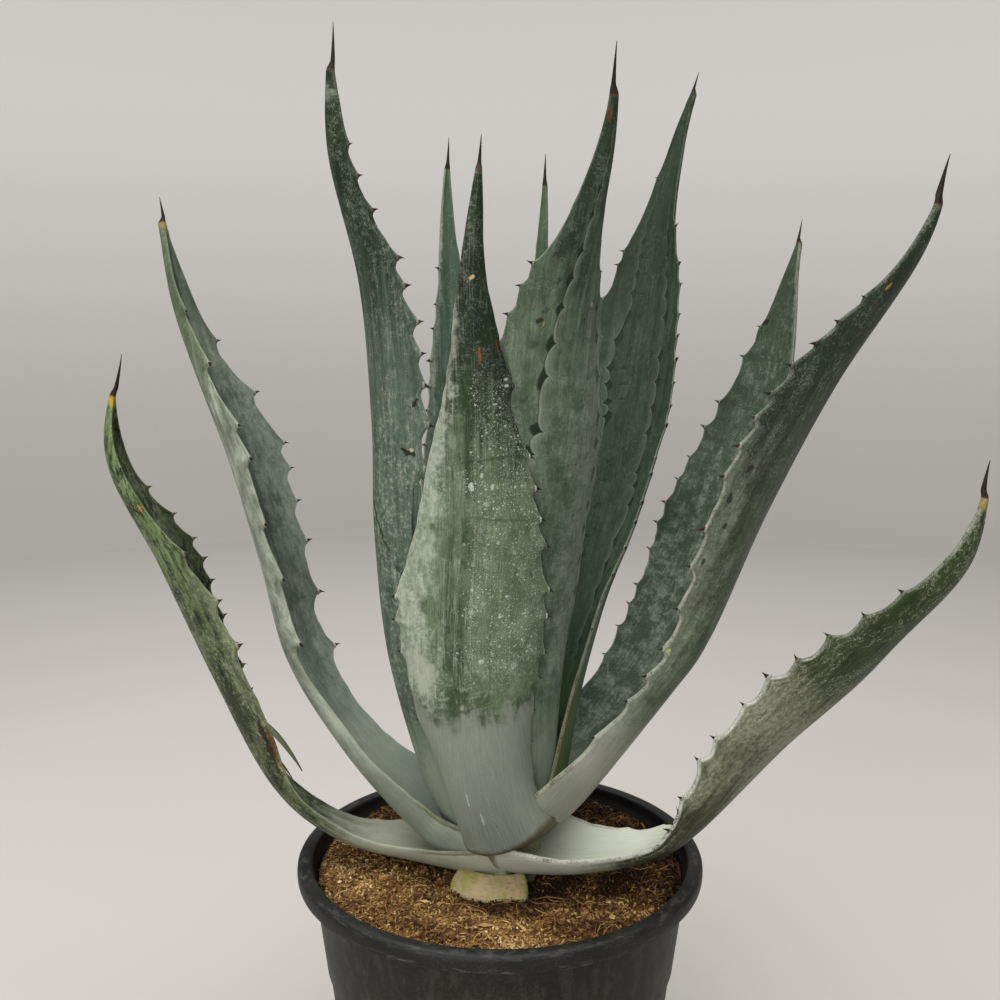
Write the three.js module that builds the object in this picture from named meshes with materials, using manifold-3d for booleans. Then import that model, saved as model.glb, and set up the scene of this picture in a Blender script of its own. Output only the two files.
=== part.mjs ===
// A century plant growing in a round nursery pot, in millimetres, +Z up.
// The origin is the centre of the pot's flat underside, and the plant stands a little towards -Y, the front.
// Thirteen grown leaves and a rolled spear stand on a short thick stem, which is rooted in coir soil.
import * as THREE from "three";
import { mergeVertices } from "three/addons/utils/BufferGeometryUtils.js";
import Module from "manifold-3d";

const wasm = await Module();
wasm.setup();

// Driving dimensions of the pot
const potHeight = 230;
const rimRadius = 140;
const rimHeight = 12;
const rimInnerRadius = 129.5;
const rimRound = 4.5;
const edgeRound = 1.5;
const footRadius = 102;
const footRound = 2;
const floorThickness = 3;
const wallThickness = 2.6;
const bandHeight = 66;
const bandLowRadius = 121;
const bandHighRadius = 129;
const bandStep = 1.5;
const drainHoles = 8;
const drainHoleRadius = 7;
const drainCircleRadius = 74;
const holeSides = 16;
const potSides = 64;

// Driving dimensions of the soil, the stem and the plant's place in the pot
const soilEdgeHeight = 222;
const soilMiddleHeight = 218;
const soilSlopeRadius = 90;
const soilFlatRadius = 60;
const soilEdgeDepth = 6;
const plantOffset = -12;
const stemSides = 24;
const clearance = 0.3;

// The stem: [radius, height] from its root end in the soil to the growing point
const stemOutline = [[14, 176], [22, 200], [25, 222], [27, 244], [23, 268], [14, 296], [7, 316]];
const stemTopHeight = 322;

// Driving dimensions that all leaves share
const spineLength = 28;
const spineRadius = 2.3;
const spineTipRadius = 0.35;
const marginFlatness = 2.2;
const marginThinning = 0.82;
const ribThickness = [16, 12, 9.5, 8, 7, 6, 4.6];
const stations = 19;
const columns = 7;
const curveSteps = 400;

// Half width along a blade, from its base to the foot of its spine, as a share of half the stated width
const lowBlade = [1.1, 0.82, 0.62, 0.58, 0.66, 0.8, 0.93, 1.0, 0.96, 0.84, 0.65, 0.42, 0.08];
const slimBlade = [1.05, 0.8, 0.62, 0.57, 0.62, 0.76, 0.92, 1.06, 1.08, 0.96, 0.68, 0.4, 0.08];
const wavyBlade = [0.98, 0.86, 0.68, 0.57, 0.58, 0.66, 0.74, 0.86, 0.98, 0.88, 0.6, 0.33, 0.07];
const outerBlade = [0.95, 0.78, 0.64, 0.62, 0.7, 0.84, 0.96, 1.0, 0.92, 0.76, 0.54, 0.32, 0.07];
const broadBlade = [0.86, 0.72, 0.66, 0.7, 0.8, 0.93, 1.04, 1.03, 0.92, 0.75, 0.54, 0.32, 0.07];
const tallBlade = [0.76, 0.66, 0.58, 0.6, 0.66, 0.77, 0.87, 0.93, 0.91, 0.76, 0.54, 0.32, 0.07];
const bentBlade = [0.86, 0.72, 0.56, 0.5, 0.5, 0.6, 0.76, 0.9, 1.0, 0.9, 0.63, 0.35, 0.07];
const innerBlade = [0.72, 0.67, 0.76, 0.9, 1.0, 0.97, 0.86, 0.71, 0.55, 0.4, 0.27, 0.15, 0.055];
const swordBlade = [0.6, 0.56, 0.6, 0.7, 0.82, 0.92, 0.97, 0.94, 0.8, 0.57, 0.34, 0.16, 0.055];

// Each leaf: azimuth in degrees (0 is +X, 90 is +Y), full width, blade outline, and a rib of points
// [reach from the plant's axis, height, sideways sway]. fold is the half angle of the trough across
// the leaf and roll its turn about its own rib, in degrees, spread evenly from base to tip.
// A leaf later in the list gives way to the ones before it, where their bases crowd together.
const leaves = [
  {
    name: "leaf_front", azimuth: -90, width: 95, blade: innerBlade,
    rib: [
      [38, 264, 3], [45, 308, -10], [56, 384, -18], [68, 465, -15],
      [80, 544, -14], [94, 627, -15], [104, 694, -10],
    ],
    fold: [60, 40, 30, 25, 25, 30], roll: [0, 0],
  },
  {
    name: "leaf_right", azimuth: -28, width: 98, blade: bentBlade,
    rib: [
      [22, 258, 8], [53, 287, 3], [114, 368, 0], [138, 406, 0],
      [171, 486, 0], [208, 561, 0], [252, 632, 0], [266, 681, 0],
    ],
    fold: [66, 45, 45, 45, 40, 35, 30], roll: [0, 0],
  },
  {
    name: "leaf_left", azimuth: 163, width: 92, blade: wavyBlade,
    rib: [
      [-6, 238, 0], [18, 239, 0], [52, 255, 0], [104, 301, 0], [147, 362, 0],
      [168, 435, 0], [191, 506, 0], [230, 599, 0], [246, 679, 0],
    ],
    fold: [75, 62, 50, 45, 42, 40, 34], roll: [0, 2, 6, 10, 12, 10],
  },
  {
    name: "leaf_low_right", azimuth: -23, width: 94, blade: lowBlade,
    rib: [
      [2, 238, 0], [24, 238, 0], [60, 242, 0], [103, 255, 0], [132, 277, 0],
      [181, 342, 0], [236, 405, 0], [282, 461, 0], [294, 519, 0],
    ],
    fold: [60, 34, 30, 42, 40, 35, 30], roll: [0, -2, -23, -34, -28, -20],
  },
  {
    name: "leaf_tall_left", azimuth: 204, width: 100, blade: tallBlade,
    rib: [
      [20, 253, -12], [43, 304, -11], [67, 382, -5], [77, 464, 0],
      [78, 535, 0], [86, 619, 0], [106, 696, 0], [106, 766, 0],
    ],
    fold: [60, 50, 42, 42, 40, 35, 30], roll: [0, 0],
  },
  {
    name: "leaf_inner_right", azimuth: -60, width: 104, blade: swordBlade,
    rib: [
      [13, 264, 13], [28, 336, 5], [44, 432, 1], [64, 524, -2],
      [84, 600, -6], [108, 655, -6], [128, 695, -8], [146, 735, -16],
    ],
    fold: [70, 50, 40, 35, 30, 30], roll: [0, 0],
  },
  {
    name: "leaf_tall_right", azimuth: 50, width: 90, blade: swordBlade,
    rib: [
      [18, 285, -17], [40, 360, -20], [66, 425, -22], [92, 488, -27],
      [120, 567, -26], [155, 660, -19], [180, 724, -19], [200, 775, -23],
    ],
    fold: [70, 50, 40, 35, 30, 30], roll: [0, 0],
  },
  {
    name: "leaf_back_right", azimuth: 36, width: 94, blade: broadBlade,
    rib: [
      [24, 269, 0], [72, 293, 0], [112, 323, 0], [157, 368, 0], [193, 417, 0],
      [217, 462, 0], [244, 511, 0], [262, 558, 0], [282, 638, 0], [290, 672, 0],
    ],
    fold: [60, 40, 35, 30, 30, 30], roll: [0, 0],
  },
  {
    name: "leaf_back_left", azimuth: 104, width: 71, blade: innerBlade,
    rib: [
      [16, 280, 0], [48, 375, 6], [80, 476, 9], [105, 587, 9], [128, 678, 8], [140, 728, 4],
    ],
    fold: [60, 45, 40, 35, 30, 30], roll: [0, 0],
  },
  {
    name: "leaf_back_middle", azimuth: 76, width: 50, blade: innerBlade,
    rib: [
      [14, 285, 0], [44, 385, -2], [72, 486, -3], [98, 587, -4], [116, 658, -3], [130, 715, -2],
    ],
    fold: [60, 45, 40, 35, 30, 30], roll: [0, 0],
  },
  {
    name: "leaf_low_left", azimuth: 177, width: 90, blade: slimBlade,
    rib: [
      [-16, 230, 0], [16, 231, 0], [56, 236, 0], [108, 247, 0], [151, 280, 0],
      [190, 355, 0], [226, 436, 0], [258, 506, 0], [248, 573, 0],
    ],
    fold: [70, 36, 34, 48, 55, 50, 40], roll: [0, 6, 28, 22, 12, 8],
  },
  {
    name: "leaf_low_back", azimuth: 88, width: 88, blade: outerBlade,
    rib: [
      [12, 255, 0], [50, 271, 0], [110, 301, 0], [165, 347, 0],
      [215, 408, 0], [262, 469, 0], [290, 519, 0],
    ],
    fold: [60, 45, 40, 35, 30, 30], roll: [0, 0],
  },
  {
    name: "leaf_low_back_left", azimuth: 113, width: 76, blade: outerBlade,
    rib: [
      [12, 263, 0], [44, 285, 0], [84, 331, 0], [118, 386, 0],
      [150, 437, 0], [185, 472, 0], [215, 498, 0],
    ],
    fold: [60, 45, 40, 35, 30, 30], roll: [0, 0],
  },
];

// The rolled youngest leaves: [radius, height] from the growing point to the spine's end
const spearOutline = [
  [10, 296], [15, 330], [17, 380], [15, 430], [11, 480], [6, 525], [2.2, 548], [0.4, 572],
];
const spearSides = 14;

// The stump of an old leaf that was cut off in front: an arc, in degrees, that hugs the stem's foot
const stubInnerRadius = 28;
const stubOuterRadius = 44;
const stubFrom = 215;
const stubTo = 295;
const stubBottom = 214;
const stubHeight = 17;
const stubBevel = 2;
const stubArcPoints = 9;

const colours = { pot: 0x3f4143, soil: 0x7a5636, stem: 0xb9bb92, leaf: 0x6f8877, stub: 0xc9c795 };
const roughness = { pot: 0.55, soil: 0.95, stem: 0.8, leaf: 0.62, stub: 0.7 };

// Catmull-Rom value between evenly spaced values, with t from 0 to 1
function along(values, t) {
  const last = values.length - 1;
  const place = Math.min(Math.max(t, 0), 1) * last;
  const i = Math.min(Math.floor(place), last - 1);
  const f = place - i;
  const b = values[i];
  const c = values[i + 1];
  const a = i > 0 ? values[i - 1] : 2 * b - c;
  const d = i < last - 1 ? values[i + 2] : 2 * c - b;
  const square = 2 * a - 5 * b + 4 * c - d;
  const cube = 3 * b - a - 3 * c + d;
  return 0.5 * (2 * b + (c - a) * f + square * f * f + cube * f * f * f);
}

// Points evenly spaced by length along the leaf's rib, in the leaf's own frame: +X outwards
function ribPoints(rib) {
  const reach = rib.map((p) => p[0]);
  const height = rib.map((p) => p[1]);
  const sway = rib.map((p) => p[2]);
  const dense = [];
  for (let i = 0; i <= curveSteps; i++) {
    const t = i / curveSteps;
    dense.push(new THREE.Vector3(along(reach, t), along(sway, t), along(height, t)));
  }
  const lengths = [0];
  for (let i = 1; i <= curveSteps; i++) {
    lengths.push(lengths[i - 1] + dense[i].distanceTo(dense[i - 1]));
  }
  const total = lengths[curveSteps];
  const points = [];
  let k = 0;
  for (let s = 0; s < stations; s++) {
    const wanted = (total * s) / (stations - 1);
    while (k < curveSteps - 1 && lengths[k + 1] < wanted) k++;
    const share = (wanted - lengths[k]) / (lengths[k + 1] - lengths[k]);
    points.push(dense[k].clone().lerp(dense[k + 1], share));
  }
  return { points, total };
}

// One leaf as a closed skin: a trough-shaped upper face and, below it, an under face that is
// thick at the rib and thin at the margins. extra makes the whole leaf fatter by that much.
function leafGeometry(leaf, extra) {
  const { points, total } = ribPoints(leaf.rib);
  const bladeEnd = 1 - spineLength / total;
  const upper = [];
  const under = [];
  for (let s = 0; s < stations; s++) {
    const t = s / (stations - 1);
    const onBlade = Math.min(t / bladeEnd, 1);
    const onSpine = Math.max((t - bladeEnd) / (1 - bladeEnd), 0);
    const before = points[Math.max(s - 1, 0)];
    const after = points[Math.min(s + 1, stations - 1)];
    const forward = after.clone().sub(before).normalize();
    const across = new THREE.Vector3(0, 1, 0).addScaledVector(forward, -forward.y).normalize();
    const inward = forward.clone().cross(across);
    const roll = THREE.MathUtils.degToRad(along(leaf.roll, t));
    across.applyAxisAngle(forward, roll);
    inward.applyAxisAngle(forward, roll);
    const spine = spineRadius + (spineTipRadius - spineRadius) * onSpine;
    const blade = Math.max((leaf.width / 2) * along(leaf.blade, onBlade), spineRadius);
    const half = t < bladeEnd ? blade : spine;
    const thickness = t < bladeEnd ? along(ribThickness, onBlade) : 2 * spine;
    const fold = THREE.MathUtils.degToRad(along(leaf.fold, t));
    for (let c = 0; c < columns; c++) {
      const u = (2 * c) / (columns - 1) - 1;
      const turn = fold * u;
      const outwards = across.clone().multiplyScalar(Math.cos(turn));
      outwards.addScaledVector(inward, Math.sin(turn));
      const normal = inward.clone().multiplyScalar(Math.cos(turn));
      normal.addScaledVector(across, -Math.sin(turn));
      const face = points[s].clone();
      face.addScaledVector(across, (half * Math.sin(turn)) / fold);
      face.addScaledVector(inward, (half * (1 - Math.cos(turn))) / fold);
      face.addScaledVector(outwards, extra * u);
      face.addScaledVector(normal, extra);
      upper.push(face);
      const depth = thickness * (1 - marginThinning * Math.abs(u) ** marginFlatness) + 2 * extra;
      under.push(face.clone().addScaledVector(normal, -depth));
    }
  }
  return skinBetween(upper, under);
}

// Joins two grids of points, stations by columns, into one closed skin facing outwards
function skinBetween(upper, under) {
  const positions = [];
  for (const p of [...upper, ...under]) positions.push(p.x, p.y, p.z);
  const faces = [];
  const top = (s, c) => s * columns + c;
  const low = (s, c) => upper.length + s * columns + c;
  const quad = (a, b, c, d) => faces.push(a, b, c, a, c, d);
  const end = stations - 1;
  const edge = columns - 1;
  for (let s = 0; s < end; s++) {
    for (let c = 0; c < edge; c++) {
      quad(top(s, c), top(s + 1, c), top(s + 1, c + 1), top(s, c + 1));
      quad(low(s, c), low(s, c + 1), low(s + 1, c + 1), low(s + 1, c));
    }
    quad(top(s, 0), low(s, 0), low(s + 1, 0), top(s + 1, 0));
    quad(top(s, edge), top(s + 1, edge), low(s + 1, edge), low(s, edge));
  }
  for (let c = 0; c < edge; c++) {
    quad(top(0, c), top(0, c + 1), low(0, c + 1), low(0, c));
    quad(top(end, c), low(end, c), low(end, c + 1), top(end, c + 1));
  }
  const geometry = new THREE.BufferGeometry();
  geometry.setAttribute("position", new THREE.Float32BufferAttribute(positions, 3));
  geometry.setIndex(faces);
  return geometry;
}

// A closed geometry as a solid for cutting
function solidFrom(geometry) {
  const bare = geometry.clone();
  bare.deleteAttribute("normal");
  bare.deleteAttribute("uv");
  const merged = mergeVertices(bare, 1e-4);
  const vertProperties = new Float32Array(merged.attributes.position.array);
  const triVerts = new Uint32Array(merged.index.array);
  return new wasm.Manifold(new wasm.Mesh({ numProp: 3, vertProperties, triVerts }));
}

// A cut solid back as a geometry, without the crumbs that a cut leaves beside the main body
function geometryFrom(solid) {
  let largest = null;
  for (const body of solid.decompose()) {
    if (!largest || body.volume() > largest.volume()) largest = body;
  }
  const mesh = largest.getMesh();
  const geometry = new THREE.BufferGeometry();
  geometry.setAttribute("position", new THREE.Float32BufferAttribute(mesh.vertProperties, 3));
  geometry.setIndex(new THREE.Uint32BufferAttribute(mesh.triVerts, 1));
  geometry.computeVertexNormals();
  return geometry;
}

// A solid turned on a vertical axis from a list of [radius, height]
function turned(outline, sides) {
  const profile = outline.map(([radius, height]) => new THREE.Vector2(radius, height));
  return solidFrom(new THREE.LatheGeometry(profile, sides).rotateX(Math.PI / 2));
}

function named(name, solid, look) {
  const material = new THREE.MeshStandardMaterial({
    color: colours[look],
    roughness: roughness[look],
    metalness: 0,
  });
  const mesh = new THREE.Mesh(geometryFrom(solid), material);
  mesh.name = name;
  return mesh;
}

// Heights and radii of the pot's wall: the band under the rim stands out a step from the wall below
const rimFoot = potHeight - rimHeight;
const bandFoot = rimFoot - bandHeight;

function wallRadius(height) {
  return THREE.MathUtils.mapLinear(height, 0, bandFoot, footRadius, bandLowRadius - bandStep);
}

// Pot: a tapering shell with a band and a rolled rim at its mouth, and holes in its floor
function potSolid() {
  const outline = [
    [0, 0], [footRadius - footRound, 0], [footRadius, footRound],
    [wallRadius(bandFoot - 1), bandFoot - 1], [bandLowRadius, bandFoot + 1],
    [bandHighRadius, rimFoot], [rimRadius - edgeRound, rimFoot], [rimRadius, rimFoot + 2 * edgeRound],
    [rimRadius, potHeight - rimRound], [rimRadius - edgeRound, potHeight - edgeRound],
    [rimRadius - rimRound, potHeight], [rimInnerRadius + edgeRound, potHeight],
    [rimInnerRadius, potHeight - edgeRound], [bandHighRadius - wallThickness, rimFoot],
    [bandLowRadius - wallThickness, bandFoot],
    [wallRadius(floorThickness) - wallThickness, floorThickness], [0, floorThickness],
  ];
  let pot = turned(outline, potSides);
  for (let i = 0; i < drainHoles; i++) {
    const angle = (2 * Math.PI * (i + 0.5)) / drainHoles;
    const length = 4 * floorThickness;
    const hole = new THREE.CylinderGeometry(drainHoleRadius, drainHoleRadius, length, holeSides);
    hole.rotateX(Math.PI / 2);
    hole.translate(drainCircleRadius * Math.cos(angle), drainCircleRadius * Math.sin(angle), 0);
    pot = pot.subtract(solidFrom(hole));
  }
  return pot;
}

// Soil: fills the pot from its floor to just under the rim, and lies a little lower at the plant
function soilSolid() {
  const room = wallThickness + 2 * clearance;
  const floor = floorThickness + clearance;
  const shoulder = bandHighRadius - room;
  const outline = [
    [0, floor], [wallRadius(floor) - room, floor], [bandLowRadius - room, bandFoot],
    [shoulder, soilEdgeHeight - soilEdgeDepth], [shoulder, soilEdgeHeight],
    [soilSlopeRadius, soilEdgeHeight - 1], [soilFlatRadius, soilMiddleHeight], [0, soilMiddleHeight],
  ];
  return turned(outline, potSides);
}

// Stem: a short thick trunk that ends in the growing point, with its root end in the soil
function stemSolid(extra) {
  const outline = stemOutline.map(([radius, height]) => [radius + extra, height]);
  const foot = stemOutline[0][1];
  return turned([[0, foot], ...outline, [0, stemTopHeight + extra]], stemSides);
}

// Spear: the youngest leaves, still rolled round each other, standing on the growing point
function spearSolid(extra) {
  const outline = spearOutline.map(([radius, height]) => [radius + extra, height]);
  const foot = spearOutline[0][1];
  const tip = spearOutline[spearOutline.length - 1][1];
  return turned([[0, foot], ...outline, [0, tip + extra]], spearSides);
}

// Stub: what is left of a leaf that was cut away, lying on the soil against the stem
function stubSolid(extra) {
  const widening = extra / stubInnerRadius;
  const from = THREE.MathUtils.degToRad(stubFrom) - widening;
  const to = THREE.MathUtils.degToRad(stubTo) + widening;
  const shape = new THREE.Shape();
  shape.absarc(0, 0, stubOuterRadius - stubBevel + extra, from, to, false);
  shape.absarc(0, 0, stubInnerRadius + stubBevel - extra, to, from, true);
  shape.closePath();
  const slab = new THREE.ExtrudeGeometry(shape, {
    depth: stubHeight - 2 * stubBevel + 2 * extra,
    curveSegments: stubArcPoints,
    bevelThickness: stubBevel,
    bevelSize: stubBevel,
    bevelSegments: 1,
  });
  slab.translate(0, 0, stubBottom + stubBevel - extra);
  return solidFrom(slab);
}

// The plant: the stem comes first, and every piece in turn is cut clear of all that stand before it
const object = new THREE.Group();
const plant = new THREE.Group();
plant.position.y = plantOffset;
object.add(plant);
plant.add(named("stem", stemSolid(0), "stem"));
const taken = [stemSolid(clearance)];

function clearOf(solid, others) {
  let rest = solid;
  for (const other of others) rest = rest.subtract(other);
  return rest;
}

for (const leaf of leaves) {
  const solid = solidFrom(leafGeometry(leaf, 0)).rotate([0, 0, leaf.azimuth]);
  const mesh = named(leaf.name, clearOf(solid, taken).rotate([0, 0, -leaf.azimuth]), "leaf");
  mesh.rotation.z = THREE.MathUtils.degToRad(leaf.azimuth);
  plant.add(mesh);
  taken.push(solidFrom(leafGeometry(leaf, clearance)).rotate([0, 0, leaf.azimuth]));
}
plant.add(named("central_spear", clearOf(spearSolid(0), taken), "leaf"));
plant.add(named("cut_leaf_stub", clearOf(stubSolid(0), taken), "stub"));
taken.push(stubSolid(clearance));

// The pot, and the soil with the hollows that the stem and the lowest leaves press into it
object.add(named("pot", potSolid(), "pot"));
const buried = taken.map((solid) => solid.translate([0, plantOffset, 0]));
object.add(named("potting_soil", clearOf(soilSolid(), buried), "soil"));

export default object;
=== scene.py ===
# A century plant in a nursery pot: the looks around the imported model, in metres, +Z up.
# Sizes below are in millimetres and are brought to metres when a mesh is made.
import math
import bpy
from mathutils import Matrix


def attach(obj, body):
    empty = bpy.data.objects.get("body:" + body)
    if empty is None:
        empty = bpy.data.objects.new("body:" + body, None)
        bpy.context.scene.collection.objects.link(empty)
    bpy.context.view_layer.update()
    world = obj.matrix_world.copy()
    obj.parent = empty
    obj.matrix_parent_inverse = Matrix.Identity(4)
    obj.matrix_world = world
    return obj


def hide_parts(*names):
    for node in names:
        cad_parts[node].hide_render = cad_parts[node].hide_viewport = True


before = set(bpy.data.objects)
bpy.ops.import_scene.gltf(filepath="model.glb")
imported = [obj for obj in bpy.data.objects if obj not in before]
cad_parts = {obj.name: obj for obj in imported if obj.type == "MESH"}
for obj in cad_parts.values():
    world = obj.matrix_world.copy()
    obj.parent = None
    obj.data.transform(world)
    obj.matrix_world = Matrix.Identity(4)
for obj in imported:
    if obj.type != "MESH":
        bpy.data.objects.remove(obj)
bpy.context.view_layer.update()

from types import SimpleNamespace

import bpy
import numpy as np

millimetre = 0.001
fullTurn = 2 * math.pi
plantShift = np.array([0.0, -12.0, 0.0])
print("frame loaded")


def addObject(name, data):
    made = bpy.data.objects.new(name, data)
    bpy.context.scene.collection.objects.link(made)
    return made


# The camera stands where the picture was taken from
view = {"eye": (0.0, -0.7573, 0.5964), "pitch": 9.0, "lens": 41.4, "sensor": 36.0}
cameraData = bpy.data.cameras.new("camera")
cameraData.lens = view["lens"]
cameraData.sensor_width = view["sensor"]
camera = addObject("camera", cameraData)
camera.location = view["eye"]
camera.rotation_euler = (math.radians(90 - view["pitch"]), 0, 0)
bpy.context.scene.camera = camera


# Small tools for curves and grids

def smoothStep(x, low, high):
    # 0 below low, 1 above high, with a soft S between them
    s = np.clip((x - low) / (high - low), 0, 1)
    return s * s * (3 - 2 * s)


def blend(first, second, share):
    return first + (second - first) * share


def unit(vectors):
    return vectors / np.linalg.norm(vectors, axis=-1, keepdims=True)


def turned(a, b, angle):
    # The pair turned by an angle, from a towards b
    return a * np.cos(angle) - b * np.sin(angle), a * np.sin(angle) + b * np.cos(angle)


def roundAngles(count):
    return np.linspace(0, fullTurn, count, endpoint=False)


def carriedRound(radius, angle, height):
    # Points at a radius and an angle round the z axis
    return np.stack(np.broadcast_arrays(radius * np.cos(angle), radius * np.sin(angle), height), -1)


def along(values, t):
    # Catmull-Rom curve through evenly spaced values, with t from 0 to 1
    values = np.asarray(values, float)
    last = len(values) - 1
    place = np.clip(t, 0, 1) * last
    i = np.minimum(np.floor(place).astype(int), last - 1)
    f = place - i
    padded = np.concatenate([[2 * values[0] - values[1]], values, [2 * values[-1] - values[-2]]])
    a, b, c, d = (padded[i + k] for k in range(4))
    square = 2 * a - 5 * b + 4 * c - d
    cube = 3 * b - a - 3 * c + d
    return 0.5 * (2 * b + (c - a) * f + square * f**2 + cube * f**3)


def lumps(x, y, size, seed):
    # Soft bumps from -1 to 1: random heights on a square lattice of that size, joined by a smooth step
    cells = 97
    heights = np.random.default_rng(seed).uniform(-1, 1, (cells, cells))
    column, row = np.floor(x / size).astype(int), np.floor(y / size).astype(int)
    nextColumn, nextRow = (column + 1) % cells, (row + 1) % cells
    fx = smoothStep(x / size - column, 0, 1)
    fy = smoothStep(y / size - row, 0, 1)
    low = blend(heights[column % cells, row % cells], heights[nextColumn, row % cells], fx)
    high = blend(heights[column % cells, nextRow], heights[nextColumn, nextRow], fx)
    return blend(low, high, fy)


def ringQuads(index):
    # Quads between neighbouring rows of point numbers, where each row runs all the way round
    following = np.roll(index, -1, axis=-1)
    near, far = slice(None, -1), slice(1, None)
    corners = [index[..., near, :], index[..., far, :], following[..., far, :], following[..., near, :]]
    return np.stack(corners, -1).reshape(-1, 4).tolist()


def tubeField(values):
    # A value or vector at each point of tubes by rows by columns, then the mean of each tube's two end rows
    width = values.shape[3:]
    ends = values[:, [0, -1]].mean(2)
    return np.concatenate([values.reshape(-1, *width), ends.reshape(-1, *width)])


def closedTubes(rings):
    # rings is tubes by rows by columns by xyz. Quads join neighbouring rings, and a fan of triangles
    # closes each end of each tube at the middle of its last ring.
    tubes, rows, columns = rings.shape[:3]
    index = np.arange(tubes * rows * columns).reshape(tubes, rows, columns)
    following = np.roll(index, -1, axis=2)
    middles = np.repeat(index.size + np.arange(tubes * 2).reshape(tubes, 2, 1), columns, axis=2)
    startFan = np.stack([middles[:, 0], index[:, 0], following[:, 0]], -1)
    endFan = np.stack([middles[:, 1], following[:, -1], index[:, -1]], -1)
    faces = ringQuads(index) + startFan.reshape(-1, 3).tolist() + endFan.reshape(-1, 3).tolist()
    return tubeField(rings), faces


def joined(*parts):
    # Several (points, faces) as one
    points = []
    faces = []
    count = 0
    for somePoints, someFaces in parts:
        points.append(somePoints)
        faces += [[corner + count for corner in face] for face in someFaces]
        count += len(somePoints)
    return np.concatenate(points), faces


def newMesh(name, shape, smooth=True, scale=millimetre):
    points, faces = shape
    mesh = bpy.data.meshes.new(name)
    mesh.from_pydata(points * scale, [], faces)
    mesh.polygons.foreach_set("use_smooth", np.full(len(faces), smooth))
    return mesh


def makePiece(name, shape, material, replaced, fields=None, smooth=True):
    mesh = newMesh(name, shape, smooth)
    for field, values in (fields or {}).items():
        vector = values.ndim > 1
        layer = mesh.attributes.new(field, "FLOAT_VECTOR" if vector else "FLOAT", "POINT")
        layer.data.foreach_set("vector" if vector else "value", values.astype(np.float32).ravel())
    mesh.materials.append(material)
    mesh.update()
    piece = addObject(name, mesh)
    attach(piece, "root")
    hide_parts(replaced)
    return piece


# Small tools for node trees

def painted(value):
    # A colour as a screen shows it, (red, green, blue) from 0 to 255, in the linear values that nodes
    # take. Anything else stays as it is.
    if not isinstance(value, tuple):
        return value
    share = np.array(value) / 255
    linear = np.where(share < 0.04045, share / 12.92, ((share + 0.055) / 1.055) ** 2.4)
    return (*linear.tolist(), 1.0)


class Value:
    # The output of a node. It takes part in sums and products as a number does, by adding Math nodes.
    def __init__(self, wiring, socket):
        self.wiring = wiring
        self.socket = socket

    def __add__(self, other):
        return self.wiring.maths("ADD", self, other)

    def __sub__(self, other):
        return self.wiring.maths("SUBTRACT", self, other)

    def __rsub__(self, other):
        return self.wiring.maths("SUBTRACT", other, self)

    def __mul__(self, other):
        return self.wiring.maths("MULTIPLY", self, other)

    def __truediv__(self, other):
        return self.wiring.maths("DIVIDE", self, other)

    def __abs__(self):
        return self.wiring.maths("ABSOLUTE", self)

    def most(self, other):
        return self.wiring.maths("MAXIMUM", self, other)

    def between(self, low, high):
        # 0 at low, 1 at high, smooth between, and the other way round where low is above high
        values = {"Value": self, "From Min": low, "From Max": high}
        return self.wiring.output("MapRange", values, interpolation_type="SMOOTHSTEP")


class Wiring:
    # Adds nodes to one tree. What goes into a node may be a number, a colour or a Value.
    def __init__(self, tree):
        self.tree = tree

    def node(self, kind, values=None, **settings):
        made = self.tree.nodes.new("ShaderNode" + kind)
        for name, setting in settings.items():
            setattr(made, name, setting)
        for socket, value in (values or {}).items():
            if isinstance(value, Value):
                self.tree.links.new(value.socket, made.inputs[socket])
            else:
                made.inputs[socket].default_value = value
        return made

    def output(self, kind, values=None, which=0, **settings):
        return Value(self, self.node(kind, values, **settings).outputs[which])

    def maths(self, operation, *values):
        return self.output("Math", dict(enumerate(values)), operation=operation)

    def mix(self, share, first, second, way="MIX"):
        values = {0: share, 6: painted(first), 7: painted(second)}
        return self.output("Mix", values, 2, data_type="RGBA", blend_type=way)

    def noise(self, place, scale, detail=2.0, rough=0.5):
        values = {"Vector": place, "Scale": scale, "Detail": detail, "Roughness": rough}
        return self.output("TexNoise", values)

    def join(self, x, y, z):
        return self.output("CombineXYZ", {0: x, 1: y, 2: z})

    def split(self, vector):
        return [Value(self, part) for part in self.node("SeparateXYZ", {0: vector}).outputs]

    def cells(self, place, scale):
        # Distance from each cell's middle, and three random values for the cell
        made = self.node("TexVoronoi", {"Vector": place, "Scale": scale}).outputs
        return Value(self, made["Distance"]), self.split(Value(self, made["Color"]))

    def field(self, name, which="Vector"):
        return self.output("Attribute", None, which, attribute_name=name)

    def place(self):
        return self.output("TexCoord", None, "Object")


def newGroup(name, inputs, outputs):
    # A shader node group with named inputs, given as {name: usual value}, and named outputs
    group = bpy.data.node_groups.new(name, "ShaderNodeTree")
    for title, value in inputs.items():
        kind = "NodeSocketColor" if isinstance(value, tuple) else "NodeSocketFloat"
        group.interface.new_socket(title, in_out="INPUT", socket_type=kind).default_value = painted(value)
    for title, kind in outputs.items():
        group.interface.new_socket(title, in_out="OUTPUT", socket_type="NodeSocket" + kind)
    w = Wiring(group)
    source = group.nodes.new("NodeGroupInput").outputs
    given = SimpleNamespace(**{title: Value(w, source[title]) for title in inputs})
    return w, given, group.nodes.new("NodeGroupOutput").inputs


def newMaterial(name, specular):
    material = bpy.data.materials.new(name)
    material.use_nodes = True
    material.node_tree.nodes["Principled BSDF"].inputs["Specular IOR Level"].default_value = specular
    return material, Wiring(material.node_tree)


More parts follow.
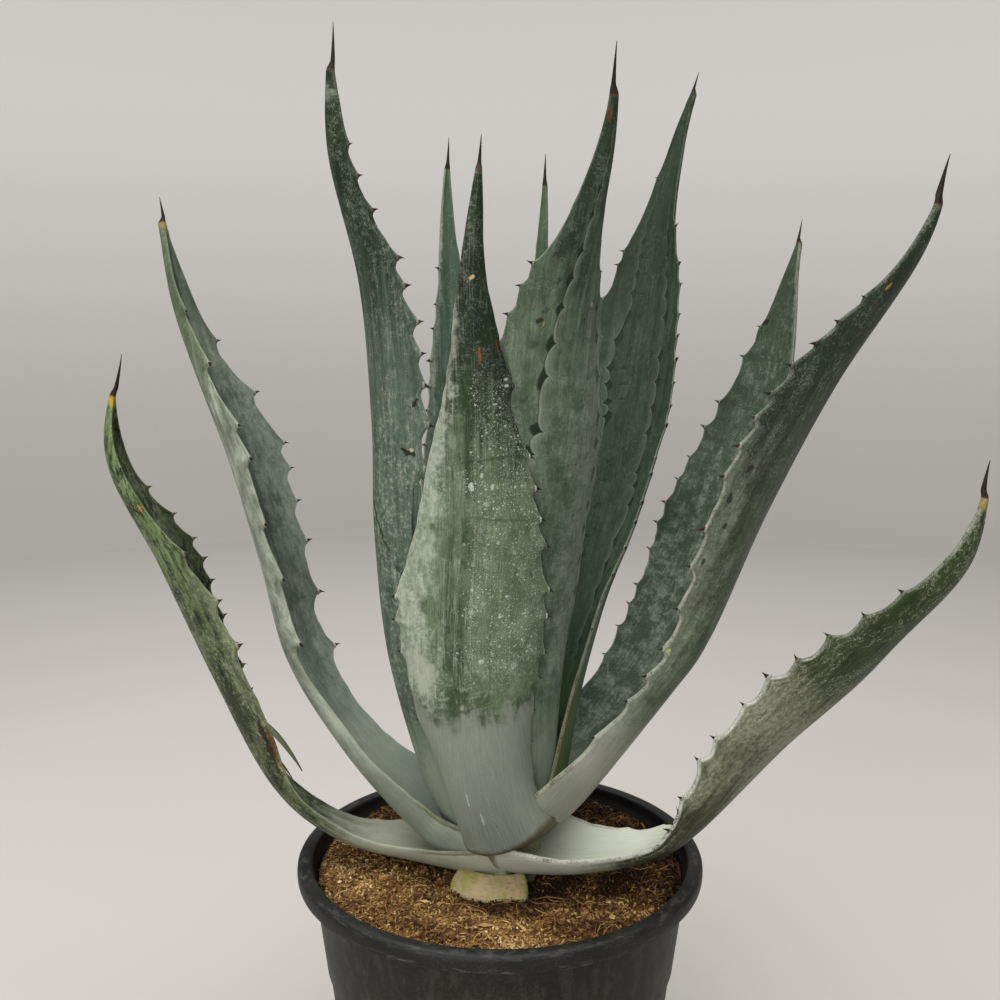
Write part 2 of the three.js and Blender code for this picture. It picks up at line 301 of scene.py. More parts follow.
def finishMaterial(material, w, colour, roughness, height=None):
    # height is the relief in millimetres
    values = {"Base Color": colour, "Roughness": roughness}
    if height is not None:
        values["Normal"] = w.output("Bump", {"Strength": 1.0, "Distance": millimetre, "Height": height})
    for title, value in values.items():
        w.tree.links.new(value.socket, material.node_tree.nodes["Principled BSDF"].inputs[title])
    return material


# Leaf skin: a powdery coat over green flesh, rubbed, streaked and splashed, with a smooth pale foot, the
# prints of a neighbour's toothed margins from when both were rolled in the bud, and a corky edge, with
# painted shade on a stretch of the inner side, at the foot's end and along its margins, and a painted
# highlight and shadow on the prints.
# u runs across a blade from margin to margin, -1 to 1, and t along it from foot to tip, 0 to 1.
# A list is a stretch of the blade: amount, middle and reach in u, start and end in t. In a leaf's own skin
# it may be shorter, and the values left out are the usual ones.
stretchParts = ["Amount", "Middle", "Reach", "From", "To"]
skinUsual = {
    "outerTone": (112, 126, 108), "innerTone": (78, 96, 74), "tipTone": (50, 64, 44),
    "deepTone": (50, 66, 44), "paleTone": (164, 172, 156), "footTone": (150, 156, 140),
    "edgeTone": (150, 154, 134), "seed": 0.0,
    "tipFrom": 0.45, "tipTo": 0.8, "tip": 0.9, "innerTip": 1.0,
    "bloom": 0.35, "leanFrom": 9.0, "leanTo": 8.0, "innerResidue": 0.5, "flakes": 0.2,
    "patchSize": 1.0, "patchStretch": 0.5, "scratches": 0.15, "dust": 0.3, "mottle": 0.4, "grit": 0.25,
    "cracks": 0.3, "cracksFrom": 0.3,
    "shade": [0.0, 0.5, 0.5, 0.4, 0.9], "flank": [0.0, -1.0, 0.4, 0.2, 0.8],
    "streak": [0.4, 0.0, 1.2, 0.0, 1.0], "speck": [0.15, 0.4, 0.5, 0.2, 0.8],
    "footEnd": 60.0, "footFade": 40.0, "footSide": 0.0, "fringe": 0.3, "hollow": 0.0,
    "print": 0.0, "printLit": 0.5, "printPlace": 0.3, "printSlope": 0.0,
    "printTwo": 0.0, "printTwoPlace": 0.6, "scallop": 24.0,
    "edgeWidth": 1.0, "edge": 0.7, "collar": 0.0, "collarFrom": 0.9,
}

# Dried water spots: how many cells of them lie in a millimetre, and the share of cells that have none
waterSpots = [(1.3, 0.15), (0.85, 0.12), (0.5, 0.35), (0.3, 0.62), (0.16, 0.86)]


def skinInputs(skin):
    # The values of a skin by the names of the group's inputs, where a stretch has five
    inputs = {}
    for title, value in skin.items():
        if isinstance(value, list):
            inputs.update({title + part: number for part, number in zip(stretchParts, value)})
        else:
            inputs[title] = value
    return inputs


def makeSkinGroup():
    outputs = {"Color": "Color", "Roughness": "Float", "Height": "Float", "Share": "Vector"}
    w, given, result = newGroup("leafSkin", skinInputs(skinUsual), outputs)
    across, distance, side = w.split(w.field("bladeMap"))
    u, t, horn = w.split(w.field("bladeShare"))
    layer = given.seed + side * 43.0
    flat = w.join(across, distance, layer)
    drawn = w.join(across, distance * 0.05, layer)
    sized = w.join(across * given.patchSize, distance * given.patchSize * given.patchStretch, layer)
    broad = w.noise(flat, 0.016, 2.0)
    blotch = w.noise(flat, 0.1, 6.0, 0.62)
    patch = w.noise(sized, 0.1, 6.0, 0.68)
    streak = w.noise(drawn, 0.2, 5.0, 0.66)
    fibre = w.noise(drawn, 1.3, 3.0, 0.6)
    hair = w.noise(w.join(across, distance * 0.03, layer + 7.0), 1.1, 3.0, 0.7)
    grain = w.noise(flat, 1.4, 3.0, 0.6)
    flake = w.noise(flat, 0.3, 5.0, 0.72)
    broadOff, blotchOff, streakOff = broad - 0.5, blotch - 0.5, streak - 0.5
    aside = abs(u)

    def stretch(name, sideways, lengthways):
        # The amount inside a stretch of the blade and 0 outside, with borders frayed by two noises
        amount, middle, reach, start, end = (vars(given)[name + part] for part in stretchParts)
        inside = (abs(u - middle) + sideways).between(reach + 0.12, reach - 0.12)
        tall = t + lengthways
        inside = inside * tall.between(start - 0.03, start + 0.04) * tall.between(end + 0.05, end - 0.06)
        return inside * amount

    def cover(share, tone, way="MIX"):
        nonlocal colour
        colour = w.mix(share, colour, tone, way)

    # flesh colour, deeper towards the tip and where the coat is thin
    colour = w.mix(side, given.innerTone, given.outerTone)
    upper = (t + (patch - 0.5) * 0.35 + streakOff * 0.45).between(given.tipFrom, given.tipTo)
    upper = upper * (given.innerTip + side * (1 - given.innerTip))
    thin = (broad * 0.5 + blotch * 0.5).between(0.44, 0.6)
    cover(thin * 0.3, given.deepTone)
    cover(upper * given.tip, given.tipTone)

    # dried residue, drawn out in fine hairs and frayed at its edges, flakes of it, scratches and dust. It
    # thins out to a quarter from leanTo to leanFrom in u, which lie off the blade unless a leaf says where.
    fade = 1 - upper * 0.8
    leaned = (u + blotchOff * 0.8).between(given.leanFrom, given.leanTo) * 0.75 + 0.25
    leaned = leaned * (side * (1 - given.innerResidue) + given.innerResidue)
    frayed = patch * 0.6 + hair * 0.22 + grain * 0.18
    bloom = frayed.between(0.46, 0.58) * given.bloom * fade * leaned
    cover(bloom, given.paleTone)
    scratch = hair.between(0.56, 0.66) * blotch.between(0.42, 0.56) * given.scratches
    cover(scratch * (1 - upper * 0.4), given.paleTone)
    dust = grain.between(0.56, 0.7) * patch.between(0.42, 0.55) * given.dust
    cover(dust * fade * leaned, given.paleTone)
    crusted = flake.between(0.52, 0.57) * (patch * 0.5 + broad * 0.5).between(0.44, 0.54) * given.flakes
    cover(crusted * (1 - upper * 0.6) * leaned, given.paleTone)

    # rubbed places where the flesh shows, in ragged patches drawn out along the blade, and pale grit
    rubbed = w.noise(w.join(across, distance * 0.45, layer + 3.0), 0.11, 6.0, 0.72)
    rubbed = rubbed + (grain - 0.5) * 0.12
    bare = rubbed.between(0.47, 0.51) * 0.6 + rubbed.between(0.51, 0.62) * 0.4
    cover(bare * given.mottle, given.deepTone)
    cover(grain.between(0.6, 0.68) * rubbed.between(0.62, 0.5) * given.grit, given.paleTone)

    # curled pale lines where the coat has cracked
    curl = w.noise(w.join(across, distance * 0.7, layer + 9.0), 0.2, 5.0, 0.6)
    crack = abs(curl - 0.5).between(0.014, 0.003) * patch.between(0.44, 0.52) * given.cracks
    cover(crack * (t + blotchOff * 0.4 - given.cracksFrom).between(-0.06, 0.08), given.paleTone)

    # a stretch of the inner side darkened, partly painted shade and partly darker flesh, then a pale crust
    # with holes
    cover(stretch("shade", blotchOff * 0.8, streakOff * 0.25) * (1 - side), given.deepTone)
    crust = stretch("flank", streakOff * 0.5 + blotchOff * 0.9, streakOff * 0.25)
    holes = patch.between(0.42, 0.56) * 0.3 + flake.between(0.43, 0.55) * 0.35 + 0.35
    cover(crust * holes, given.paleTone)

    # long dark streaks
    dark = (streak * 0.6 + hair * 0.4).between(0.44, 0.54) * (patch.between(0.44, 0.54) * 0.6 + 0.4)
    dark = dark * stretch("streak", streakOff * 0.6, streakOff * 0.3)
    cover(dark, given.deepTone)

    # dried water spots of five sizes
    specks = 0.0
    for scale, rare in waterSpots:
        far, (chance, size, tone) = w.cells(w.join(across, distance, layer + scale), scale)
        radius = (size * 0.7 + 0.3) * 0.4
        spot = far.between(radius, radius * 0.6) * chance.between(rare, rare + 0.08)
        specks = (spot * (tone * 0.65 + 0.35)).most(specks)
    specks = specks * (patch.between(0.4, 0.56) * 0.65 + 0.35)
    specks = specks * stretch("speck", blotchOff * 0.9, blotchOff * 0.25)
    cover(specks, (206, 212, 198))

    # the smooth pale foot, with ragged dark marks along its upper end, grey in its hollow, and brown along
    # its lower end, dried skin under painted shade, and a painted contact shadow along its margins
    past = distance + streakOff * 40.0 + blotchOff * 26.0 - given.footEnd + side * given.footSide
    foot = past.between(given.footFade, given.footFade * -0.3)
    fringe = abs(past - 6.0).between(11.0, 1.0) * blotch.between(0.47, 0.56)
    cover(fringe * given.fringe, given.deepTone)
    footColour = w.mix(broad.between(0.35, 0.65), given.outerTone, given.footTone)
    cover(foot * 0.93, w.mix(0.7, footColour, given.footTone))
    low = distance.between(75.0, 15.0) * (aside + streakOff * 0.8).between(0.75, 0.1)
    cover(low * given.hollow, (92, 94, 94))
    rimward = abs(across) / aside.most(0.05) * (1 - aside)
    # painted shade over dried brown skin on the foot's lower end, and a painted contact shadow along its
    # margins
    footEndDriedAndShaded = (distance + blotchOff * 9.0).between(12.0, 8.0)
    marginContactShadow = (rimward + blotchOff * 2.0).between(2.4, 1.2) * distance.between(85.0, 60.0)
    cover(footEndDriedAndShaded.most(marginContactShadow) * 0.75, (84, 76, 46))

    # prints: lines of arches, with a painted highlight inside each arch, painted shadow in the dark hollow
    # where two arches meet, and a smudge beyond
    arch = abs(w.maths("SINE", (distance + broadOff * 70.0) * math.pi / given.scallop))
    bow = w.maths("POWER", arch, 0.55) * -0.11
    prints = 0.0
    firstLine = (given.print, given.printPlace, given.printSlope, 0.4)
    secondLine = (given.printTwo, given.printTwoPlace, 0.0, 0.3)
    for strength, middle, slope, wander in (firstLine, secondLine):
        past = u - (middle + (t - 0.65) * slope + broadOff * wander + bow)
        printed = distance.between(50.0, 110.0) * strength
        # a painted highlight on the raised rim just inside each arch
        paintedHighlight = past.between(0.2, 0.02) * 0.5 + past.between(0.05, 0.02) * 0.5
        paintedHighlight = paintedHighlight * past.between(-0.01, 0.012) * printed * (1 - upper * 0.7)
        cover(paintedHighlight * given.printLit, given.paleTone)
        # painted shadow in the hollow where two arches meet
        notch = arch - (past * 7.0 + 1.0) * 0.8
        hollow = notch.between(0.14, -0.1) * past.between(0.01, -0.008)
        smudge = abs(past + 0.3).between(0.1, 0.01) * arch.between(0.4, 0.1)
        crease = abs(past).between(0.014, 0.0)
        mark = hollow.most(smudge * 0.5).most(crease * 0.6) * printed
        cover(mark, given.deepTone)
        prints = mark.most(prints)

    # fine fibres and grain over all of it, then the corky edge
    cover(0.2, w.mix(fibre.between(0.3, 0.7), (118, 118, 118), (208, 208, 208)), "OVERLAY")
    grains = w.mix(grain.between(0.35, 0.65), (124, 124, 124), (216, 216, 216))
    cover(0.08 - foot * 0.05, grains, "OVERLAY")
    edge = ((rimward + blotchOff * 1.6) / given.edgeWidth).between(1.0, 0.3)
    edge = edge * (grain * 0.5 + blotch * 0.5).between(0.4, 0.55)
    cover(edge * given.edge * (1 - upper * 0.7), given.edgeTone)

    # a yellowed collar under the end spine
    yellow = (t + blotchOff * 0.03).between(given.collarFrom, given.collarFrom + 0.012)
    cover(yellow * given.collar, (176, 146, 56))

    # horn of the teeth and the end spine: brown where it starts, near black and greyed further out
    rust = w.mix(horn.between(0.3, 0.6), (84, 60, 40), (38, 31, 27))
    rust = w.mix(grain.between(0.5, 0.75) * 0.45, rust, (96, 88, 82))
    cover(horn.between(0.1, 0.4), rust)

    roughness = bloom * 0.22 + specks * 0.2 - dark * 0.08 + grain * 0.12 + 0.47
    height = fibre * 0.08 + patch * 0.25 + grain * 0.05 - prints * 0.35 + hair * 0.08
    share = w.join(u, t, flake * 0.6 + blotch * 0.4)
    for title, value in zip(outputs, (colour, roughness, height, share)):
        w.tree.links.new(value.socket, result[title])
    return w.tree


skinGroup = makeSkinGroup()


def leafMaterial(leaf):
    # The skin with this leaf's own values, and then its own marks: each is an ellipse with a ragged edge
    # round a place [u, t], of a size in u and t, with a slope of t over u, in one colour and strength
    material, w = newMaterial(leaf["name"] + "Skin", 0.15)
    skin = w.node("Group", node_tree=skinGroup)
    for title, value in skinInputs({**leaf["skin"], "seed": 10.0 * leaf["number"]}).items():
        skin.inputs[title].default_value = painted(value)
    colour, roughness, height, share = (Value(w, output) for output in skin.outputs)
    u, t, ragged = w.split(share)
    for uPlace, tPlace, uSize, tSize, slope, tone, amount in leaf["marks"]:
        uOff = (u - uPlace) * (1 / uSize)
        tOff = (t - tPlace - (u - uPlace) * slope) * (1 / tSize)
        far = w.maths("SQRT", uOff * uOff + tOff * tOff)
        mark = (far + (ragged - 0.5) * 4.5).between(1.1, 0.6)
        colour = w.mix(mark * amount, colour, tone)
    return finishMaterial(material, w, colour, roughness, height)


# Leaves. Half width along a blade, from its foot to the foot of its spine, as a share of half the width
blades = {
    "low": [1.1, 0.82, 0.62, 0.58, 0.66, 0.8, 0.93, 1.0, 0.96, 0.84, 0.65, 0.42, 0.08],
    "slim": [1.05, 0.8, 0.62, 0.57, 0.62, 0.76, 0.92, 1.06, 1.08, 0.96, 0.68, 0.4, 0.08],
    "wavy": [0.98, 0.86, 0.68, 0.57, 0.58, 0.66, 0.74, 0.86, 0.98, 0.88, 0.6, 0.33, 0.07],
    "outer": [0.95, 0.78, 0.64, 0.62, 0.7, 0.84, 0.96, 1.0, 0.92, 0.76, 0.54, 0.32, 0.07],
    "broad": [0.86, 0.72, 0.66, 0.7, 0.8, 0.93, 1.04, 1.03, 0.92, 0.75, 0.54, 0.32, 0.07],
    "tall": [0.76, 0.66, 0.58, 0.6, 0.66, 0.77, 0.87, 0.93, 0.91, 0.76, 0.54, 0.32, 0.07],
    "bent": [0.66, 0.66, 0.56, 0.5, 0.5, 0.6, 0.76, 0.9, 1.0, 0.9, 0.63, 0.35, 0.07],
    "inner": [0.72, 0.67, 0.76, 0.9, 1.0, 0.97, 0.86, 0.71, 0.55, 0.4, 0.27, 0.15, 0.055],
    "sword": [0.6, 0.56, 0.6, 0.7, 0.82, 0.92, 0.97, 0.94, 0.8, 0.57, 0.34, 0.16, 0.055],
}

# What all leaves share
leafMake = {
    "rows": 320, "faceColumns": 29, "bladeShort": 28, "spineTipRadius": 0.15, "taperCurve": 0.0015,
    "ribThickness": [16, 12, 9.5, 8, 7, 6, 4.6], "flatness": 2.2, "rimSquareness": 40,
    "edgeShare": 0.18, "edgeLeast": 0.9, "edgeMost": 2.0, "footClose": 9, "footThickness": 0.35,
    "slantReach": 0.16, "flareReach": 0.06, "lobeFrom": 0.7, "rough": 0.5, "roughSize": 7.0,
    "toothRings": 6, "toothSides": 7, "toothSink": 1.6, "toothFlat": 0.6, "toothUneven": (0.75, 1.2),
    "toothLean": 0.35, "toothGap": (17, 27), "toothFrom": 0.14, "toothTo": 0.8, "lobeUneven": (0.65, 1.3),
    "wave": 1.2, "waveLength": 95, "stripRings": 14, "stripSides": 8, "stripSink": 1.5,
}

# What a leaf has where its own table below doesn't say otherwise
leafUsual = {
    "fold": [60, 45, 40, 35, 30, 30], "roll": [0, 0], "horn": 25, "taper": 0.15, "spine": 1.7, "thick": 1.0,
    "bays": [9.0, 4.5], "inset": 0.6, "trim": [0, 0], "slant": [0, 0], "flare": 0, "hook": 0.0,
    "strips": [], "marks": [], "skin": {},
}

# Each leaf: azimuth is its direction round the stem in degrees, rib its [reach, height, sway], fold the
# trough's half angle and roll the turn about the rib, all from foot to tip. horn is the length of its end
# spine, spine the radius at its foot and taper how fast the blade narrows to it. teeth are places on a
# margin, as shares of its length, lobe is how far the margin swells to each, over bays mm, tooth their
# length, and hook leans them to the tip, or to the foot below 0. inset sets the margin back by a share of
# lobe, and trim by mm. High is the margin at u = 1 and Low that at -1. slant and flare shape the foot, and
# marks and strips are described where they are made.
leaves = [
    {
        "name": "frontLeaf", "node": "leaf_front", "azimuth": -90, "width": 95, "blade": "inner",
        "rib": [[38, 264, 3], [45, 308, -10], [56, 384, -18], [68, 465, -15], [80, 544, -14], [94, 627, -15],
                [104, 694, -10]],
        "fold": [60, 40, 30, 25, 25, 30], "horn": 19, "slant": [13, 12, 9], "flare": 8, "inset": 0.4,
        "teethLow": [0.37, 0.335, 0.29, 0.24, 0.19],
        "teethHigh": [0.68, 0.585, 0.54, 0.495, 0.455, 0.39, 0.35, 0.285, 0.24, 0.185, 0.135, 0.09],
        "lobe": 5.5, "tooth": 3.4, "hook": -0.7, "taper": 0.13, "spine": 1.4, "bays": [14.0, 3.0],
        "marks": [
            [0.15, 0.727, 0.05, 0.012, 0, (146, 84, 54), 0.9],
            [0.74, 0.738, 0.04, 0.012, 0, (118, 72, 46), 0.8],
            [-0.05, 0.827, 0.2, 0.004, 0.02, (206, 178, 120), 0.9],
            [0.25, 0.588, 0.7, 0.0025, 0.01, (50, 62, 42), 0.5],
            [0.4, 0.503, 0.45, 0.0025, -0.01, (50, 62, 42), 0.4],
            [-0.2, 0.243, 0.15, 0.012, 0.02, (62, 70, 42), 0.7],
            [0.12, 0.236, 0.13, 0.01, 0, (62, 70, 42), 0.6],
            [-0.62, 0.275, 0.26, 0.03, 0, (176, 180, 160), 0.6],
            [-0.07, 0.551, 0.04, 0.006, 0, (196, 202, 188), 0.8],
            [0.27, 0.549, 0.035, 0.005, 0, (196, 202, 188), 0.8],
            [0.1, 0.566, 0.03, 0.005, 0, (196, 202, 188), 0.7],
            [-0.3, 0.093, 0.02, 0.009, 0, (178, 182, 168), 0.7],
            [-0.16, 0.07, 0.015, 0.007, 0, (178, 182, 168), 0.6],
        ],
        "skin": {
            "outerTone": (110, 125, 98), "deepTone": (44, 62, 34), "paleTone": (180, 188, 170),
            "tipTone": (32, 42, 27), "footTone": (138, 143, 131), "edgeTone": (196, 202, 188),
            "tip": 1.0, "tipFrom": 0.5, "tipTo": 0.72, "cracks": 0.22, "cracksFrom": 0.5,
            "footEnd": 88.0, "footFade": 14.0, "fringe": 0.9, "hollow": 0.45, "bloom": 0.4,
            "leanFrom": 0.3, "leanTo": -0.6, "flakes": 0.6, "scratches": 0.35, "dust": 0.45,
            "flank": [0.75, -1.0, 0.42, 0.22, 0.82], "streak": [0.85, -0.2, 0.22, 0.2, 0.74],
            "speck": [1.0, 0.45, 0.55, 0.25, 0.7], "edge": 1.0, "edgeWidth": 1.3,
        },
    },
    {
        "name": "rightLeaf", "node": "leaf_right", "azimuth": -28, "width": 98, "blade": "bent",
        "rib": [[22, 258, 8], [53, 287, 3], [114, 368, 0], [138, 406, 0], [171, 486, 0], [208, 561, 0],
                [252, 632, 0], [266, 681, 0]],
        "fold": [66, 45, 45, 45, 40, 35, 30], "horn": 27,
        "teethLow": [0.83, 0.795, 0.765, 0.735, 0.7, 0.67, 0.635, 0.595, 0.53, 0.48, 0.42, 0.36, 0.315, 0.27,
                     0.2],
        "lobe": 6.0, "tooth": 3.6, "hook": -0.3, "taper": 0.34, "spine": 2.6, "bays": [12.0, 4.0],
        "thick": 0.75,
        "marks": [
            [-0.75, 0.612, 0.035, 0.006, 0.05, (40, 38, 30), 0.8],
            [-0.75, 0.539, 0.04, 0.005, 0.05, (40, 38, 30), 0.8],
            [-0.7, 0.852, 0.05, 0.005, 0.03, (176, 140, 70), 0.8],
            [-0.85, 0.57, 0.04, 0.008, 0, (36, 32, 24), 0.8],
            [-0.88, 0.49, 0.03, 0.007, 0, (36, 32, 24), 0.8],
            [-0.9, 0.36, 0.04, 0.006, 0, (190, 196, 120), 0.7],
        ],
        "skin": {
            "outerTone": (82, 96, 74), "innerTone": (92, 100, 82), "tipTone": (32, 44, 28),
            "deepTone": (44, 52, 36), "footTone": (160, 162, 150), "edgeTone": (170, 172, 156),
            # its wide pale edge is partly the corky margin and partly a painted highlight along its near
            # margin
            "cracks": 0.5, "footEnd": 90.0, "footFade": 70.0, "bloom": 0.25, "edge": 0.95, "edgeWidth": 2.2,
            "flank": [0.35, -1.0, 0.3, 0.2, 0.65],
        },
    },
    {
        "name": "leftLeaf", "node": "leaf_left", "azimuth": 163, "width": 92, "blade": "wavy",
        "rib": [[-6, 238, 0], [18, 239, 0], [52, 255, 0], [104, 301, 0], [147, 362, 0], [168, 435, 0],
                [191, 506, 0], [230, 599, 0], [246, 679, 0]],
        "fold": [75, 62, 50, 45, 42, 40, 34], "roll": [0, 2, 6, 10, 12, 10], "horn": 18,
        "teethLow": [0.81, 0.73, 0.655, 0.62, 0.575, 0.52, 0.45, 0.37],
        "teethHigh": [0.845, 0.765, 0.68, 0.64, 0.56, 0.49, 0.4],
        "lobe": 7.0, "tooth": 4.0, "hook": -0.3, "taper": 0.2, "bays": [13.0, 5.0],
        "lobeHigh": 12.0, "baysHigh": [26.0, 3.0],
        "skin": {
            # its pale outer tone is partly its coat and partly painted light on the outer band, and its shade
            # is painted shade on the inner face, partly darker flesh
            "innerTone": (100, 109, 96), "outerTone": (192, 199, 182), "tipTone": (84, 98, 66),
            "deepTone": (44, 54, 44), "footTone": (120, 128, 114), "innerResidue": 1.0, "innerTip": 0.3,
            "tipFrom": 0.6, "footEnd": 120.0, "footFade": 90.0, "bloom": 0.3, "streak": [0.2],
            "flank": [0.35, -1.0, 0.4, 0.3, 0.82], "shade": [0.75, 0.5, 0.75, 0.5, 1.1],
            "collar": 0.4, "collarFrom": 0.95,
        },
    },
    {
        "name": "lowRightLeaf", "node": "leaf_low_right", "azimuth": -23, "width": 94, "blade": "low",
        "rib": [[2, 238, 0], [24, 238, 0], [60, 242, 0], [103, 255, 0], [132, 277, 0], [181, 342, 0],
                [236, 405, 0], [282, 461, 0], [294, 519, 0]],
        "fold": [60, 34, 30, 42, 40, 35, 30], "roll": [0, -2, -23, -34, -28, -20], "horn": 22,
        "teethLow": [0.79, 0.735, 0.685, 0.63, 0.585, 0.535, 0.475, 0.435, 0.37],
        "lobe": 6.0, "tooth": 3.4, "hook": 0.2, "taper": 0.38, "spine": 2.2, "bays": [9.0, 5.0], "inset": 0.8,
        "thick": 0.8, "trimLow": [0, 0, 0, 3, 5, 7, 10, 10, 6, 2, 0],
        "strips": [[-1.0, 0.345, 5, 3, 2, 3.2], [-1.0, 0.33, 4, -5, 3, 2.6], [-1.0, 0.315, 6, -2, 1, 2.2],
                   [-1.0, 0.47, 3, 5, 1, 2.0]],
        "skin": {
            "outerTone": (56, 58, 34), "innerTone": (228, 232, 218), "tipTone": (50, 66, 34),
            "deepTone": (28, 36, 14), "paleTone": (172, 173, 150), "footTone": (222, 226, 210),
            "edgeTone": (206, 208, 196), "edge": 0.95, "edgeWidth": 3.6, "footEnd": 110.0, "footSide": 45.0,
            "leanFrom": -0.3, "leanTo": -0.8, "flakes": 0.5, "innerResidue": 1.0, "patchSize": 0.6,
            "flank": [0.42, -0.5, 1.1, 0.38, 0.6], "streak": [0.8, 0.0, 1.4, 0.14, 0.37], "mottle": 0.5,
            "cracks": 0.8, "cracksFrom": 0.45, "bloom": 0.3, "scratches": 0.35, "tipFrom": 0.5,
            "tipTo": 0.68, "collar": 0.5, "collarFrom": 0.93,
        },
    },
    {
        "name": "tallLeftLeaf", "node": "leaf_tall_left", "azimuth": 204, "width": 100, "blade": "tall",
        "rib": [[20, 253, -12], [43, 304, -11], [67, 382, -5], [77, 464, 0], [78, 535, 0], [86, 619, 0],
                [106, 696, 0], [106, 766, 0]],
        "fold": [60, 50, 42, 42, 40, 35, 30], "horn": 28,
        "teethHigh": [0.865, 0.83, 0.79, 0.735, 0.705, 0.665, 0.63, 0.595, 0.55, 0.5],
        "lobe": 9.0, "tooth": 4.0, "hook": -0.2, "taper": 0.28, "spine": 1.9, "bays": [14.0, 6.0],
        "inset": 1.15, "thick": 0.85,
        "marks": [
            [0.82, 0.576, 0.12, 0.004, 0.03, (24, 24, 18), 0.9],
            [0.7, 0.519, 0.14, 0.004, -0.02, (24, 24, 18), 0.9],
            [0.72, 0.522, 0.05, 0.0025, 0, (190, 180, 140), 0.8],
            [-0.1, 0.446, 0.7, 0.006, -0.108, (44, 56, 34), 0.8],
            [0, 0.925, 0.8, 0.012, 0, (124, 130, 116), 0.6],
        ],
        "skin": {
            "outerTone": (92, 110, 94), "innerTone": (90, 106, 88), "tipTone": (26, 38, 18),
            "deepTone": (40, 54, 36), "bloom": 0.3, "cracks": 0.5, "cracksFrom": 0.55, "flakes": 0.6,
            "scratches": 0.25, "grit": 0.12, "tipFrom": 0.5, "tip": 1.0,
        },
    },
    {
        "name": "innerRightLeaf", "node": "leaf_inner_right", "azimuth": -60, "width": 104, "blade": "sword",
        "rib": [[13, 264, 13], [28, 336, 5], [44, 432, 1], [64, 524, -2], [84, 600, -6], [108, 655, -6],
                [128, 695, -8], [146, 735, -16]],
        "fold": [70, 50, 40, 35, 30, 30], "horn": 27, "teethLow": [0.75, 0.723, 0.69, 0.65, 0.61, 0.56, 0.51],
        "lobe": 4.5, "tooth": 2.8, "hook": 0.1, "taper": 0.08, "bays": [10.0, 5.0],
        "marks": [
            [0.5, 0.707, 0.015, 0.003, 0, (196, 186, 150), 0.9],
            [-0.55, 0.93, 0.3, 0.01, 0, (92, 66, 42), 0.7],
            [-0.55, 0.779, 0.2, 0.02, 0, (34, 44, 30), 0.6],
            [-0.7, 0.857, 0.25, 0.03, 0, (34, 44, 30), 0.6],
            [-0.5, 0.69, 0.07, 0.004, 0.03, (40, 36, 24), 0.9],
            [-0.42, 0.686, 0.022, 0.003, 0, (176, 140, 90), 0.8],
        ],
        "skin": {
            "outerTone": (104, 121, 99), "deepTone": (34, 46, 30), "tipTone": (28, 38, 22),
            "print": 0.95, "printPlace": -0.12, "printSlope": 1.0, "printTwo": 0.6, "printTwoPlace": 0.8,
            "scallop": 20.0, "flank": [0.4, 0.55, 0.3, 0.2, 0.7], "streak": [0.2], "speck": [0.05],
            "bloom": 0.22, "tipFrom": 0.6, "tipTo": 0.88,
        },
    },
    {
        "name": "tallRightLeaf", "node": "leaf_tall_right", "azimuth": 50, "width": 90, "blade": "sword",
        "rib": [[18, 285, -17], [40, 360, -20], [66, 425, -22], [92, 488, -27], [120, 567, -26],
                [155, 660, -19], [180, 724, -19], [200, 775, -23]],
        "fold": [70, 50, 40, 35, 30, 30], "horn": 17,
        "teethLow": [0.805, 0.76, 0.703, 0.67, 0.625, 0.595, 0.565, 0.535, 0.505, 0.48, 0.437, 0.415, 0.38,
                     0.355, 0.32, 0.28, 0.242, 0.205],
        "teethHigh": [0.84, 0.73, 0.71, 0.66, 0.6, 0.54],
        "lobe": 3.0, "tooth": 3.4, "hook": 0.2, "taper": 0.12, "spine": 1.4, "bays": [8.0, 4.0],
        "skin": {
            "innerTone": (57, 73, 55), "outerTone": (92, 106, 90), "tipTone": (28, 42, 24),
            "deepTone": (28, 42, 24), "footTone": (66, 84, 48), "bloom": 0.12, "dust": 0.1, "scratches": 0.1,
            "mottle": 0.3, "grit": 0.1, "cracks": 0.1, "innerResidue": 0.3, "speck": [0.0], "streak": [0.2],
            "print": 0.9, "printPlace": 0.5, "printLit": 0.22, "printTwo": 0.7, "printTwoPlace": -0.45,
            "scallop": 19.0,
        },
    },
    {
        "name": "backRightLeaf", "node": "leaf_back_right", "azimuth": 36, "width": 94, "blade": "broad",
        "rib": [[24, 269, 0], [72, 293, 0], [112, 323, 0], [157, 368, 0], [193, 417, 0], [217, 462, 0],
                [244, 511, 0], [262, 558, 0], [282, 638, 0], [290, 672, 0]],
        "fold": [60, 40, 35, 30, 30, 30], "horn": 19,
        "teethHigh": [0.83, 0.78, 0.7, 0.655, 0.6, 0.56, 0.52, 0.485, 0.438, 0.375, 0.34, 0.3, 0.25, 0.175],
        "teethLow": [0.7, 0.62, 0.55, 0.48, 0.4, 0.358, 0.32, 0.26],
        "lobe": 4.2, "tooth": 3.6, "hook": 0.1, "taper": 0.16, "spine": 1.5, "bays": [9.0, 5.0],
        "marks": [
            [0.85, 0.838, 0.25, 0.006, 0, (36, 32, 26), 0.85],
            [-0.5, 0.842, 0.15, 0.005, 0, (60, 54, 40), 0.6],
        ],
        "skin": {
            "innerTone": (58, 69, 55), "outerTone": (98, 108, 92), "tipTone": (52, 64, 50),
            "footTone": (104, 114, 98), "footEnd": 30.0, "tipFrom": 0.6, "tipTo": 1.0, "bloom": 0.3,
            "patchStretch": 1.0, "patchSize": 0.8, "flakes": 0.3, "innerResidue": 0.8, "cracks": 0.25,
            "flank": [0.55, -1.0, 0.3, 0.55, 1.1], "streak": [0.6, 0.0, 1.2, 0.5, 1.0],
        },
    },
    {
